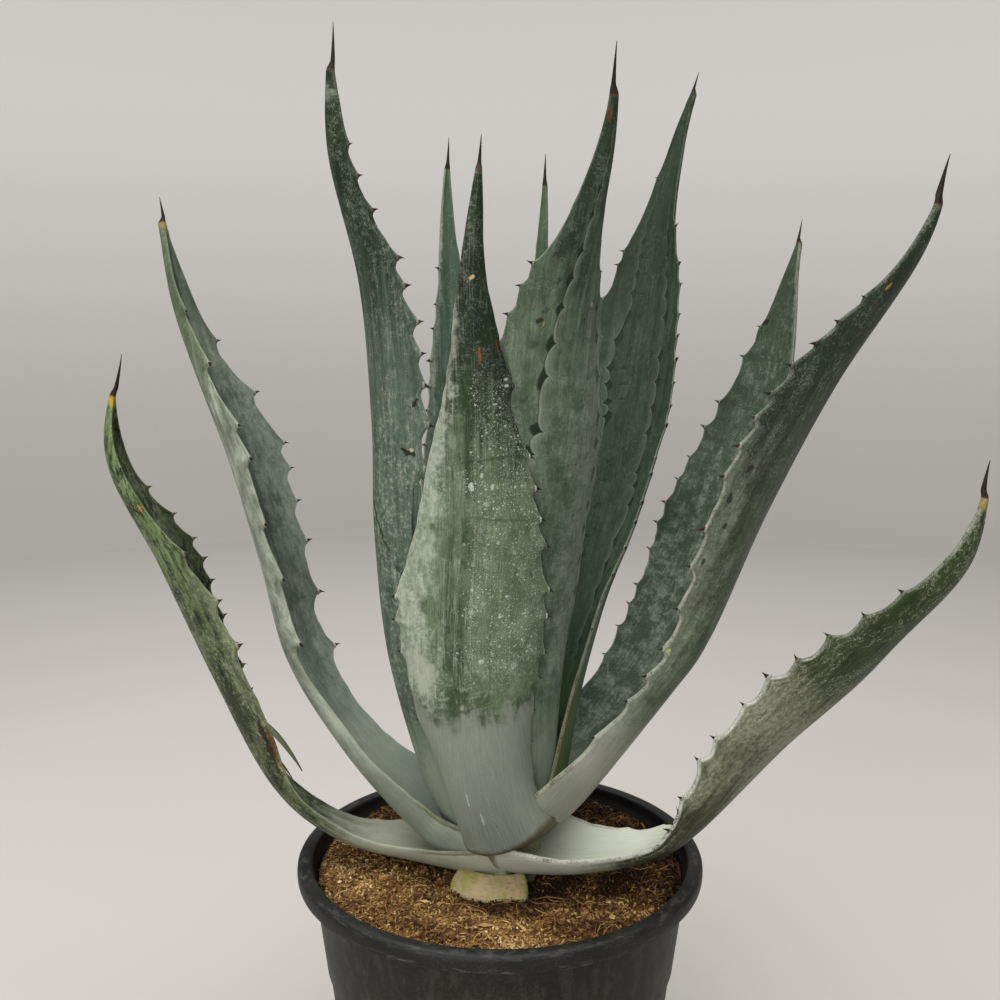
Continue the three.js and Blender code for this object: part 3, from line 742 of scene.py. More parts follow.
        "name": "backLeftLeaf", "node": "leaf_back_left", "azimuth": 104, "width": 71, "blade": "inner",
        "rib": [[16, 280, 0], [48, 375, 6], [80, 476, 9], [105, 587, 9], [128, 678, 8], [140, 728, 4]],
        "lobe": 2.0, "tooth": 3.4,
        "skin": {
            "innerTone": (94, 116, 102), "tipTone": (62, 80, 64), "bloom": 0.25, "edge": 1.0,
            "edgeWidth": 1.6, "flank": [0.8, 1.0, 0.3, 0.0, 1.0],
        },
    },
    {
        "name": "backMiddleLeaf", "node": "leaf_back_middle", "azimuth": 76, "width": 50, "blade": "inner",
        "rib": [[14, 285, 0], [44, 385, -2], [72, 486, -3], [98, 587, -4], [116, 658, -3], [130, 715, -2]],
        "lobe": 1.5, "tooth": 3.0,
        "skin": {"innerTone": (90, 112, 94), "tipTone": (66, 86, 64), "bloom": 0.25},
    },
    {
        "name": "lowLeftLeaf", "node": "leaf_low_left", "azimuth": 177, "width": 90, "blade": "slim",
        "rib": [[-16, 230, 0], [16, 231, 0], [56, 236, 0], [108, 247, 0], [151, 280, 0], [190, 355, 0],
                [226, 436, 0], [258, 506, 0], [248, 573, 0]],
        "fold": [70, 36, 34, 48, 55, 50, 40], "roll": [0, 6, 28, 22, 12, 8], "horn": 29,
        "teethLow": [0.806, 0.757, 0.715, 0.683, 0.65, 0.596, 0.553, 0.52, 0.482, 0.446, 0.39],
        "teethHigh": [0.708, 0.635, 0.57],
        "lobe": 5.0, "tooth": 3.8, "hook": -0.1, "taper": 0.38, "spine": 2.0, "bays": [10.0, 4.0],
        "inset": 0.8, "thick": 0.7, "trimHigh": [0, 0, 2, 4, 4, 2, 0, 0],
        "strips": [[1.0, 0.452, 15, -26, -12, 7.5], [1.0, 0.4, 3, -14, -2, 3.0]],
        "marks": [
            [0.92, 0.42, 0.08, 0.04, 0, (96, 62, 32), 0.9],
            [0.78, 0.42, 0.12, 0.05, 0, (38, 33, 18), 0.85],
            [0.3, 0.5, 0.3, 0.05, 0, (38, 46, 26), 0.6],
            [-0.2, 0.62, 0.3, 0.04, 0, (38, 46, 26), 0.6],
            [0.85, 0.782, 0.06, 0.008, 0, (190, 130, 60), 0.9],
        ],
        "skin": {
            "outerTone": (62, 70, 36), "innerTone": (84, 92, 72), "tipTone": (118, 138, 86),
            "deepTone": (26, 36, 14), "footTone": (197, 200, 180), "paleTone": (153, 159, 128),
            "mottle": 1.0, "cracks": 0.8, "innerTip": 0.0, "footEnd": 105.0, "footFade": 50.0, "flakes": 0.7,
            "collar": 0.9, "collarFrom": 0.927, "flank": [0.5, 1.0, 0.25, 0.3, 0.7],
        },
    },
    {
        "name": "lowBackLeaf", "node": "leaf_low_back", "azimuth": 88, "width": 88, "blade": "outer",
        "rib": [[12, 255, 0], [50, 271, 0], [110, 301, 0], [165, 347, 0], [215, 408, 0], [262, 469, 0],
                [290, 519, 0]],
        "lobe": 3.0, "tooth": 4.0,
    },
    {
        "name": "lowBackLeftLeaf", "node": "leaf_low_back_left", "azimuth": 113, "width": 76,
        "blade": "outer",
        "rib": [[12, 263, 0], [44, 285, 0], [84, 331, 0], [118, 386, 0], [150, 437, 0], [185, 472, 0],
                [215, 498, 0]],
        "lobe": 3.0, "tooth": 4.0,
    },
]


def ribCurve(leaf):
    # The rib's points, evenly judged by length: share of the length, place, direction, and the whole length
    steps = np.linspace(0, 1, 401)
    reach, height, sway = (along(column, steps) for column in zip(*leaf["rib"]))
    places = np.stack([reach, sway, height], -1)
    gaps = np.linalg.norm(np.diff(places, axis=0), axis=1)
    lengths = np.concatenate([[0], np.cumsum(gaps)])
    return lengths / lengths[-1], places, unit(np.gradient(places, lengths, axis=0)), lengths[-1]


def leafMargin(leaf, end, side):
    # What one margin has. Its teeth are those stated, or else one every toothGap mm with a random step.
    keys = ["teeth", "lobe", "bays", "trim"]
    margin = SimpleNamespace(side=side, **{key: leaf.get(key + end, leaf.get(key)) for key in keys})
    if margin.teeth is None:
        rng = np.random.default_rng(leaf["number"] * 2 + (side > 0))
        places = leafMake["toothFrom"] + np.cumsum(rng.uniform(*leafMake["toothGap"], 40) / leaf["curve"][3])
        margin.teeth = places[places < leafMake["toothTo"]]
    margin.teeth = np.array(margin.teeth)
    return margin


def marginSwell(leaf, margin, t):
    # The margin swells to each tooth: a cusp that falls away over bays[0] mm on its far side and bays[1] mm
    # on the side that the teeth lean to
    length, teeth = leaf["curve"][3], margin.teeth
    gap = (t[..., None] - teeth) * length
    reach = np.where(np.sign(leaf["hook"]) * gap > 0, margin.bays[1], margin.bays[0])
    swell = np.exp(-np.abs(gap) / reach)
    size = blend(0.35, 1.0, smoothStep(teeth, 0.1, 0.45)) * blend(1.0, 0.5, smoothStep(teeth, 0.72, 0.86))
    size = size * np.random.default_rng(300 + leaf["number"]).uniform(*leafMake["lobeUneven"], len(teeth))
    rough = leafMake["rough"] * lumps(t * length, 0 * t + 9.0 * leaf["number"], leafMake["roughSize"], 31)
    sunk = leaf["inset"] * leaf["lobe"] * smoothStep(t, 0.1, 0.3) * smoothStep(t, 0.92, 0.8)
    return (margin.lobe * size * swell).max(-1) - sunk + rough * smoothStep(t, 0.9, 0.8)


def leafSection(leaf, t):
    # Half width and rib thickness along the leaf, how far the blade has turned into the end spine, and the
    # spine's radius. Towards the spine the blade is no wider than a taper.
    length = leaf["curve"][3]
    onBlade = np.minimum(t / (1 - leafMake["bladeShort"] / length), 1)
    hornStart = 1 - leaf["horn"] / length
    onSpine = np.clip((t - hornStart) / (1 - hornStart), 0, 1)
    toSpine = smoothStep(onSpine, 0, 0.25)
    spine = blend(leaf["spine"], leafMake["spineTipRadius"], onSpine ** 0.8)
    toHorn = np.maximum(hornStart - t, 0) * length
    taper = leaf["spine"] + leaf["taper"] * toHorn + leafMake["taperCurve"] * toHorn**2
    blade = np.minimum(leaf["width"] / 2 * along(blades[leaf["blade"]], onBlade), taper)
    thick = along(leafMake["ribThickness"], onBlade) * leaf["thick"]
    return blend(blade, spine, toSpine), thick, toSpine, spine


def leafSurface(leaf, t, u):
    # The upper face: the rib's point, then out along an arc, half * sin(turn) / fold across and
    # half * (1 - cos(turn)) / fold inwards, where turn is u times the trough's half angle.
    # depth is the thickness below it, full at the rib and thin and rounded at the margins.
    t, u = np.broadcast_arrays(t, u)
    aside = np.abs(u)
    share, places, directions, length = leaf["curve"]
    place = np.stack([np.interp(t, share, places[:, k]) for k in range(3)], -1)
    forward = unit(np.stack([np.interp(t, share, directions[:, k]) for k in range(3)], -1))
    across = unit(np.array([0.0, 1.0, 0.0]) - forward * forward[..., 1:2])
    inward = np.cross(forward, across)
    inward, across = turned(inward, across, np.radians(along(leaf["roll"], t))[..., None])
    half, thick, toSpine, spine = leafSection(leaf, t)
    fold = np.radians(along(leaf["fold"], t))
    turn = (fold * u)[..., None]
    normal, outwards = turned(inward, across, turn)

    # the lift of the round spine and of a slight wave, and the swell of the margins
    bulge = toSpine * spine * np.sqrt(np.clip(1 - u**2, 0, 1))
    beat = np.sin(fullTurn * t * length / leafMake["waveLength"] + leaf["number"] + 2 * (u > 0))
    wave = leafMake["wave"] * aside**2.5 * beat
    lift = bulge + wave * smoothStep(t, 0.1, 0.3) * smoothStep(t, 1, 0.85)
    low, high = leaf["low"], leaf["high"]
    swell = np.where(u > 0, marginSwell(leaf, high, t), marginSwell(leaf, low, t))
    trim = np.where(u > 0, along(high.trim, t), along(low.trim, t)) * smoothStep(aside, 0.1, 1)
    swell = (swell * smoothStep(aside, leafMake["lobeFrom"], 1) - trim) * np.sign(u) * (1 - toSpine)

    # the foot's slanted end and its flare on one side
    foot = along(leaf["slant"], (u + 1) / 2) * (1 - smoothStep(t, 0, leafMake["slantReach"]))
    flare = leaf["flare"] * smoothStep(u, 0.2, 1) * (1 - smoothStep(t, 0, leafMake["flareReach"]))
    place = place - forward * foot[..., None] + across * flare[..., None]
    arc = (half / fold)[..., None]
    face = place + across * arc * np.sin(turn) + inward * arc * (1 - np.cos(turn))
    face = face + outwards * swell[..., None] + normal * lift[..., None]
    edge = np.clip(leafMake["edgeShare"] * thick, leafMake["edgeLeast"], leafMake["edgeMost"])
    rim = np.sqrt(np.clip(1 - aside ** leafMake["rimSquareness"], 0, 1))
    blade = (thick - edge) * (1 - aside ** leafMake["flatness"]) + edge * rim
    depth = blend(blade, 2 * spine * np.sqrt(np.clip(1 - u**2, 0, 1)), toSpine)
    return SimpleNamespace(
        face=face, outwards=outwards, normal=normal, forward=forward, depth=depth, half=half, edge=edge)


def turnedToPlace(leaf, points):
    # From the leaf's own frame, where it points along +X, to its direction round the stem
    x, y = turned(points[..., 0], points[..., 1], math.radians(leaf["azimuth"]))
    return np.stack([x, y, points[..., 2]], -1) + plantShift


def skinFields(length, u, t, half, side, horn, within=1.0):
    # What the skin reads at each point: [mm across, mm along, side] and [u, t, horn]. side is 0 on the upper
    # face and 1 on the under face, horn is 1 where the skin has turned to horn, and a value of within below 1
    # keeps u off the margins.
    bladeMap = np.stack(np.broadcast_arrays(u * half, t * length, side), -1)
    return bladeMap, np.stack(np.broadcast_arrays(u * within, t, horn), -1)


def leafBlade(leaf):
    # Rings round the leaf: the upper face from margin to margin, then back along the under face.
    # Columns crowd towards the margins by a sine, where the teeth and the rounded edge are.
    length = leaf["curve"][3]
    t = np.linspace(0, 1, leafMake["rows"] + 1)[:, None]
    columns = leafMake["faceColumns"]
    u = np.sin(np.linspace(-1, 1, columns + 1) * math.pi / 2)[None, :]
    back = u[:, -2:0:-1]
    top, under = leafSurface(leaf, t, u), leafSurface(leaf, t, back)
    close = smoothStep(t, 0, leafMake["footClose"] / length)
    thickness = under.depth * blend(leafMake["footThickness"], 1, close)
    rings = np.concatenate([top.face, under.face - under.normal * thickness[..., None]], 1)
    around = np.concatenate([u, back], 1)
    side = np.zeros_like(around)
    side[:, columns + 1:] = 1
    side[:, [0, columns]] = 0.5
    hornStart = 1 - leaf["horn"] / length
    horn = smoothStep(t, hornStart - 1.5 / length, hornStart + 5 / length)
    half = np.concatenate([top.half, under.half], 1)
    return rings[None], *(field[None] for field in skinFields(length, around, t, half, side, horn))


def marginRoots(surface):
    # Where teeth and strips sprout, in the middle of the edge, and the three ways there, ready for
    # rings by sides
    out, forward, normal, face = (vars(surface)[key][:, None, None, :]
                                  for key in ("outwards", "forward", "normal", "face"))
    return face - normal * surface.edge[:, None, None, None] / 2, out, forward, normal


def leafTeeth(leaf, margin):
    # Curved horns: circles squeezed across the leaf, set along the way out from the margin, drawn on
    # towards the tip or the foot by the square of the way out
    teeth, side = margin.teeth, margin.side
    rng = np.random.default_rng(100 + leaf["number"] * 2 + (side > 0))
    seat = leafSurface(leaf, teeth, np.full(len(teeth), float(side)))
    count, rings, sides = len(teeth), leafMake["toothRings"], leafMake["toothSides"]
    size = leaf["tooth"] * rng.uniform(*leafMake["toothUneven"], count)
    size = size * blend(0.5, 1.0, smoothStep(teeth, 0.1, 0.4))
    size = (size * blend(1.0, 0.6, smoothStep(teeth, 0.72, 0.88)))[:, None, None, None]
    lean = leaf["hook"] + rng.uniform(-leafMake["toothLean"], leafMake["toothLean"], count)
    lean = lean[:, None, None, None]
    way = np.linspace(0, 1, rings)[None, :, None, None]
    angle = roundAngles(sides)[None, None, :, None]
    root, out, forward, normal = marginRoots(seat)
    sink = leafMake["toothSink"]
    centre = root + out * side * (way * (size + sink) - sink) + forward * lean * size * way**2
    wide = size * (0.36 * (1 - way) + 0.3 * (1 - way) ** 4) + 0.05
    thin = wide * leafMake["toothFlat"]
    points = centre + forward * wide * np.cos(angle) + normal * side * thin * np.sin(angle)
    u = np.full((count, rings, sides), float(side))
    horn = smoothStep(way[..., 0], 0.05, 0.6)
    half = seat.half[:, None, None]
    return points, *skinFields(leaf["curve"][3], u, teeth[:, None, None], half, 1, horn)


def tornStrips(leaf):
    # Flattened tubes of dried skin. Each strip is [u, t, way out, way along, way up, width], in millimetres
    # from its root at [u, t]. It rises or droops by the square of the way and twists as it goes.
    strips = np.array(leaf["strips"], float)
    u, t, outDrift, onDrift, upDrift, width = strips.T[..., None, None, None]
    roots = leafSurface(leaf, strips[:, 1], strips[:, 0])
    way = np.linspace(0, 1, leafMake["stripRings"])[None, :, None, None]
    angle = roundAngles(leafMake["stripSides"])[None, None, :, None]
    root, out, forward, normal = marginRoots(roots)
    out = out * u
    up = np.array([0.0, 0.0, 1.0])
    course = root - out * leafMake["stripSink"] + out * outDrift * way + forward * onDrift * way
    course = course + up * upDrift * way**2
    girth = width / 2 * (1 - 0.85 * way**1.5)
    thin, flat = turned(normal, forward, 1.6 * way + 0.2)
    points = course + flat * girth * np.cos(angle) + thin * 0.22 * girth * np.sin(angle)
    u = u[..., 0] * np.ones(points.shape[:3])
    half = roots.half[:, None, None]
    return points, *skinFields(leaf["curve"][3], u, t[..., 0], half, 1, 0.05, 0.9)


def makeLeaf(leaf):
    leaf["curve"] = ribCurve(leaf)
    leaf["low"] = leafMargin(leaf, "Low", -1)
    leaf["high"] = leafMargin(leaf, "High", 1)
    parts = [leafBlade(leaf), leafTeeth(leaf, leaf["low"]), leafTeeth(leaf, leaf["high"])]
    if leaf["strips"]:
        parts.append(tornStrips(leaf))
    rings, bladeMaps, bladeShares = zip(*parts)
    shape = joined(*(closedTubes(turnedToPlace(leaf, part)) for part in rings))
    fields = {
        "bladeMap": np.concatenate([tubeField(part) for part in bladeMaps]),
        "bladeShare": np.concatenate([tubeField(part) for part in bladeShares]),
    }
    makePiece(leaf["name"], shape, leafMaterial(leaf), leaf["node"], fields)


for number, leaf in enumerate(leaves):
    makeLeaf({**leafUsual, **leaf, "number": number})
print("leaves made")


# Pot: a turned profile. Each corner is [radius, height, rounding], and is rounded by a short curve
# that starts and ends that far from it. Fine upright ribs run round the body below the band.
pot = {
    "outline": [
        [0, 0, 0], [102, 0, 2], [119.3, 150.5, 1], [121, 153, 1], [129, 218, 0.8], [139, 218, 1.4],
        [140, 221, 2], [140, 230, 5], [129.5, 230, 2.5], [129.5, 222, 3], [126.4, 217, 2], [118.4, 152, 2],
        [99.7, 3, 2], [0, 3, 0],
    ],
    "segments": 576, "cornerSteps": 6, "longest": 14.0, "ribs": 144, "ribDepth": 0.25, "ribFoot": 5,
    "ribTop": 148, "ribFade": 3, "holes": 8, "holeRadius": 7, "holeCircle": 74, "holeSides": 40,
    "holeLevels": [-4.0, 7.0],
}


def roundedOutline(corners, steps, longest):
    # Points along a corner's curve by the quadratic rule between its two tangent points, and extra
    # points on the straight stretches, none longer than longest
    path = []
    for i, (radius, height, rounding) in enumerate(corners):
        corner = np.array([radius, height], float)
        if rounding == 0:
            path.append(corner)
            continue
        before = corner + unit(np.array(corners[i - 1][:2]) - corner) * rounding
        after = corner + unit(np.array(corners[i + 1][:2]) - corner) * rounding
        for f in np.linspace(0, 1, steps):
            path.append((1 - f) ** 2 * before + 2 * f * (1 - f) * corner + f**2 * after)
    dense = [path[0]]
    for point in path[1:]:
        start = dense[-1]
        pieces = int(np.linalg.norm(point - start) // longest) + 1
        dense += [blend(start, point, (k + 1) / pieces) for k in range(pieces)]
    return np.array(dense)


def dustyPlastic():
    # Near black plastic with clouds of dust and smears, scuffed to grey, with painted highlights on the rim's
    # crest and lower lip
    material, w = newMaterial("dustyPlastic", 0.3)
    place = w.place()
    x, y, z = w.split(place)
    speckle = w.noise(place, 900.0, 4.0, 0.65)
    cloud = w.noise(place, 22.0, 4.0, 0.6)
    radius = w.maths("SQRT", x * x + y * y)
    turn = w.maths("ARCTAN2", y, x)
    rub = w.noise(w.join(turn * 6.0, z * 260.0, radius * 60.0), 2.2, 5.0, 0.7)
    crestHighlight = z.between(0.2255, 0.2295) * radius.between(0.131, 0.134)
    lipHighlight = abs(z - 0.2195).between(0.0032, 0.0012) * radius.between(0.1375, 0.139)
    colour = w.mix(cloud.between(0.4, 0.7), (13, 14, 11), (22, 22, 18))
    dust = speckle.between(0.45, 0.72) * cloud.between(0.35, 0.62)
    colour = w.mix(dust * 0.35, colour, (84, 80, 70))
    smear = w.noise(w.join(turn * 14.0, z * 40.0, 0.0), 1.0, 7.0, 0.68)
    smear = smear.between(0.47, 0.6) * z.between(0.22, 0.214)
    colour = w.mix(smear * (speckle * 0.2 + 0.08), colour, (86, 84, 74))
    # the scuffs, with a painted highlight along the rim's crest and its lower lip
    scuffAndHighlight = rub.between(0.5, 0.66) * (crestHighlight * 0.35 + lipHighlight * 0.75 + 0.08)
    colour = w.mix(scuffAndHighlight, colour, (88, 86, 79))
    roughness = dust * 0.25 + scuffAndHighlight * 0.25 + cloud * 0.1 + 0.46
    return finishMaterial(material, w, colour, roughness, speckle * 0.05 + scuffAndHighlight * 0.08)


def makePot():
    outline = roundedOutline(pot["outline"], pot["cornerSteps"], pot["longest"])[1:-1]
    radius, height = outline[:, 0, None], outline[:, 1, None]
    angle = roundAngles(pot["segments"])[None]
    outside = np.arange(len(outline))[:, None] < np.argmax(outline[:, 0])
    foot, top, fade = pot["ribFoot"], pot["ribTop"], pot["ribFade"]
    band = smoothStep(height, foot, foot + fade) * smoothStep(height, top, top - fade)
    radius = radius - outside * band * pot["ribDepth"] * (0.5 + 0.5 * np.cos(pot["ribs"] * angle))
    rings = carriedRound(radius, angle, height)
    piece = makePiece("nurseryPot", closedTubes(rings[None, :, ::-1]), dustyPlastic(), "pot")

    # the drain holes are cut by plugs, and the cut mesh takes the place of the first one
    turn = (np.arange(pot["holes"]) + 0.5) / pot["holes"] * fullTurn
    level = np.array(pot["holeLevels"])[None, :, None]
    plugs = carriedRound(pot["holeRadius"], roundAngles(pot["holeSides"])[None, None], level)
    plugs = plugs + carriedRound(pot["holeCircle"], turn, 0.0)[:, None, None]
    cutter = addObject("drainHoles", newMesh("drainHoles", closedTubes(plugs[:, :, ::-1]), smooth=False))
    cut = piece.modifiers.new("drainHoles", "BOOLEAN")
    cut.object = cutter
    cut.operation = "DIFFERENCE"
    cut.solver = "EXACT"
    bpy.context.view_layer.update()
    holed = bpy.data.meshes.new_from_object(piece.evaluated_get(bpy.context.evaluated_depsgraph_get()))
    piece.modifiers.clear()
    piece.data = holed
    bpy.data.objects.remove(cutter)


makePot()
print("pot made")


# Soil: a lumpy body that fills the pot, and over it crumbs, splinters, flat chips and fibres of coir
soil = {
    "radius": 125.6, "edgeHeight": 221.0, "middleHeight": 218, "slopeFrom": 60, "slopeTo": 90,
    "dip": 3.0, "dipFrom": 119, "dipTo": 126, "rows": 80, "columns": 260, "shift": 300,
    # its lumps of [seed, size, height]
    "clods": [[1, 21.0, 2.0], [2, 7.0, 1.5], [3, 2.7, 0.8]],
    # its lower wall and floor, [radius, height]
    "wall": [[125.4, 210], [117.0, 152], [99.0, 8.0], [98.4, 3.4], [1.0, 3.4]],
    # crumbs, splinters and chips: how many, least and most length, width and height, tilt, and how much paler
    "stones": [
        [7600, (1.2, 3.6), (1.0, 2.6), (1.0, 2.6), 0.8, 0.0],
        [4600, (2.6, 8.0), (0.5, 1.2), (0.5, 1.0), 0.45, 0.08],
        [300, (5.0, 11.0), (2.2, 4.6), (1.0, 2.2), 0.3, 0.0],
    ],
    "stoneReach": 124.0, "stoneUneven": 0.35, "stoneOut": 0.2, "stoneLift": (0, 0.6), "bodyTone": 0.6,
    # its tone in shade and in full sun, how much each bit differs, and patches of [seed, size, strength]
    "shadeTone": 0.13, "sunTone": 0.6, "toneUneven": 0.19, "patches": [[5, 14.0, 0.2], [6, 37.0, 0.14]],
    "fibres": 300, "fibreRings": 6, "fibreSides": 3, "fibreReach": 122, "fibreLength": (7, 24),
    "fibreBend": 0.9, "fibreBow": 1.6, "fibreLift": (0.2, 1.6), "fibreThickness": (0.16, 0.4),
    "fibreTone": (0.35, 0.8),
}

# A stone's six corners, and its eight sides
stoneCorners = np.array([[1, 0, 0], [0, 1, 0], [-1, 0, 0], [0, -1, 0], [0, 0, 1], [0, 0, -1]], float)
stoneSides = np.array([[0, 1, 4], [1, 2, 4], [2, 3, 4], [3, 0, 4],
                       [1, 0, 5], [2, 1, 5], [3, 2, 5], [0, 3, 5]])


def soilLumps(x, y, size, seed):
    return lumps(x + soil["shift"], y + soil["shift"], size, seed)


def soilHeight(x, y):
    # Level in the middle, a little higher towards the wall, with clods, crumbs and a dip at the wall
    r = np.hypot(x, y)
    slope = smoothStep(r, soil["slopeFrom"], soil["slopeTo"])
    height = blend(soil["middleHeight"], soil["edgeHeight"], slope)
    for seed, size, rise in soil["clods"]:
        height = height + rise * soilLumps(x, y, size, seed)
    return height - soil["dip"] * smoothStep(r, soil["dipFrom"], soil["dipTo"])


def soilTone(x, y, rng):
    # Golden towards the front and the left, partly the coir's own colour and partly painted sunlight, and
    # darker towards the back right and round the stem, partly the coir's own browns and partly painted shade
    # under the leaves, with patches and a different tone for each bit
    sunny = smoothStep(-x * 0.6 - y, -60, 100) * smoothStep(np.hypot(x - 12, y + 34), 22, 58)
    patches = sum(strength * soilLumps(x, y, size, seed) for seed, size, strength in soil["patches"])
    tone = blend(soil["shadeTone"], soil["sunTone"], sunny) + patches
    return tone + rng.normal(0, soil["toneUneven"], x.shape)


def coirSoil():
    # Each bit's own tone, made uneven by two noises, read off a scale from dark brown to straw
    material, w = newMaterial("coirSoil", 0.2)
    place = w.place()
    grain = w.noise(place, 1400.0, 4.0, 0.7)
    clump = w.noise(place, 160.0, 3.0, 0.6)
    shade = w.field("coirTone", "Fac") * 0.8 + grain * 0.25 + clump * 0.2 - 0.18
    ramp = w.node("ValToRGB", {0: shade})
    stops = [(24, 15, 8), (76, 48, 25), (142, 107, 59), (198, 166, 108), (236, 218, 172)]
    elements = ramp.color_ramp.elements
    elements[0].color, elements[1].color = painted(stops[0]), painted(stops[-1])
    for i, tone in enumerate(stops[1:-1], 1):
        elements.new(i / (len(stops) - 1)).color = painted(tone)
    return finishMaterial(material, w, Value(w, ramp.outputs[0]), grain * 0.2 + 0.8, grain * 0.4)


def soilStones(rng, count, longest, widest, tallest, tilt, paler):
    # Squashed eight-sided stones with uneven corners, each leaned, tipped and spun
    spin, lean, tip = rng.uniform(0, fullTurn, count), rng.normal(0, tilt, count), rng.normal(0, tilt, count)
    reach = soil["stoneReach"] * np.sqrt(rng.uniform(0, 1, count))
    around = rng.uniform(0, fullTurn, count)
    x, y = reach * np.cos(around), reach * np.sin(around)
    size = np.stack([rng.uniform(*span, count) for span in (longest, widest, tallest)], -1)
    uneven = rng.uniform(-soil["stoneUneven"], soil["stoneUneven"], (count, *stoneCorners.shape))
    a, b, c = np.moveaxis((stoneCorners + uneven) * size[:, None] / 2, -1, 0)
    b, c = turned(b, c, lean[:, None])
    c, a = turned(c, a, tip[:, None])
    a, b = turned(a, b, spin[:, None])
    z = soilHeight(x, y) + size[:, 2] * soil["stoneOut"] + rng.uniform(*soil["stoneLift"], count)
    points = np.stack([a + x[:, None], b + y[:, None], c + z[:, None]], -1).reshape(-1, 3)
    corners = len(stoneCorners)
    faces = (stoneSides + corners * np.arange(count)[:, None, None]).reshape(-1, 3).tolist()
    return (points, faces), np.repeat(soilTone(x, y, rng), corners) + paler


def soilFibres(rng):
    # Thin tubes that bend in the plane of the soil and dip at their ends
    count, rings, furthest = soil["fibres"], soil["fibreRings"], soil["fibreReach"]
    reach, around = furthest * np.sqrt(rng.uniform(0, 1, count)), rng.uniform(0, fullTurn, count)
    heading, length = rng.uniform(0, fullTurn, count), rng.uniform(*soil["fibreLength"], count)
    bend, thick = rng.normal(0, soil["fibreBend"], count), rng.uniform(*soil["fibreThickness"], count)
    s = np.linspace(-0.5, 0.5, rings)[None]
    course = heading[:, None] + bend[:, None] * s
    x = (reach * np.cos(around))[:, None] + length[:, None] * s * np.cos(course)
    y = (reach * np.sin(around))[:, None] + length[:, None] * s * np.sin(course)
    inside = np.minimum(1, furthest / np.hypot(x, y))
    x, y = x * inside, y * inside
    lift = soil["fibreBow"] * (1 - (2 * s) ** 2) + rng.uniform(*soil["fibreLift"], count)[:, None]
    z = soilHeight(x, y) + lift
    girth = (thick[:, None] * (1.1 - np.abs(s) * 1.4))[..., None]
    side = roundAngles(soil["fibreSides"])[None, None]
    flat = girth * np.cos(side)
    x, y = x[..., None] - flat * np.sin(course)[..., None], y[..., None] + flat * np.cos(course)[..., None]
    tone = rng.uniform(*soil["fibreTone"], count)[:, None, None] * np.ones(x.shape)
    return closedTubes(np.stack([x, y, z[..., None] + girth * np.sin(side)], -1)), tubeField(tone)


def makeSoil():
    rng = np.random.default_rng(11)
    angle = roundAngles(soil["columns"])[None]
    reach = np.linspace(0.8, soil["radius"], soil["rows"])[:, None]
    x, y = reach * np.cos(angle), reach * np.sin(angle)
    top = np.stack([x, y, soilHeight(x, y)], -1)
    wall = np.array(soil["wall"])[..., None]
    rings = np.concatenate([top, carriedRound(wall[:, 0], angle, wall[:, 1])])
    body = closedTubes(rings[None, :, ::-1])
    shapes, tones = [body], [soilTone(body[0][:, 0], body[0][:, 1], rng) * soil["bodyTone"]]
    for stones in soil["stones"]:
        shape, tone = soilStones(rng, *stones)
        shapes.append(shape)
        tones.append(tone)
    fibres, fibreTone = soilFibres(rng)
    fields = {"coirTone": np.concatenate([*tones, fibreTone])}
    makePiece("coirSoil", joined(*shapes, fibres), coirSoil(), "potting_soil", fields, smooth=False)


makeSoil()
print("soil made")


# Stem and rolled spear, turned round the plant's axis, with outlines of [radius, height] from foot to tip
turning = {"rows": 140, "columns": 96}


def turnedRings(outline, bulge):
    # An outline carried round the axis, with bulge(angle, t) added to 1 times the radius
    t = np.linspace(0, 1, turning["rows"])[:, None]
    angle = roundAngles(turning["columns"])[None]
    radius, height = (along(column, t) for column in zip(*outline))
    return (carriedRound(radius * (1 + bulge(angle, t)), angle, height) + plantShift)[None, :, ::-1]


def dryFlesh(name, tones):
    # Cut or dried agave flesh: pale, with green left in places and brown where it has dried
    material, w = newMaterial(name, 0.3)
    place = w.place()
    cloud = w.noise(place, 70.0, 4.0, 0.6)
    grain = w.noise(place, 700.0, 3.0, 0.6)
    drawn = w.noise(w.output("Mapping", {"Vector": place, "Scale": (1.0, 1.0, 6.0)}), 160.0, 3.0, 0.6)
    colour = w.mix(cloud.between(0.42, 0.62), tones["pale"], tones["green"])
    colour = w.mix(drawn.between(0.55, 0.72) * 0.6, colour, tones["brown"])
    colour = w.mix(grain.between(0.55, 0.75) * 0.3, colour, tones["brown"])
    return finishMaterial(material, w, colour, grain * 0.2 + 0.6, grain * 0.15 + drawn * 0.3)


stem = {
    "outline": [[14, 176], [22, 200], [25, 222], [27, 244], [23, 268], [14, 296], [7, 316], [1, 322]],
    "tones": {"pale": (146, 146, 122), "green": (122, 128, 96), "brown": (92, 78, 52)},
}


def knobs(angle, t):
    # Two waves that climb round the stem
    return 0.05 * np.sin(5 * angle + 9 * t) + 0.03 * np.sin(11 * angle - 23 * t)


def makeStem():
    shape = closedTubes(turnedRings(stem["outline"], knobs))
    makePiece("stemTrunk", shape, dryFlesh("stemFlesh", stem["tones"]), "stem")


spear = {
    "outline": [[9, 296], [15, 330], [17, 380], [15, 430], [11, 480], [6, 525], [2.2, 548], [0.4, 572]],
    "roll": 0.09, "twist": 2.2, "length": 276.0, "half": 40, "within": 0.9, "hornFrom": 0.9, "hornTo": 0.93,
    "leaf": {**leafUsual, "name": "rolledSpear", "number": 20, "skin": {"footEnd": 40.0}},
}


def wrap(angle, t):
    # One step in the radius that climbs round the spear, as the edge of a rolled leaf does
    turns = (angle / fullTurn + spear["twist"] * t) % 1
    return spear["roll"] * (turns - 0.5 - smoothStep(turns, 0.96, 1.0)) * smoothStep(t, 1.0, 0.8)


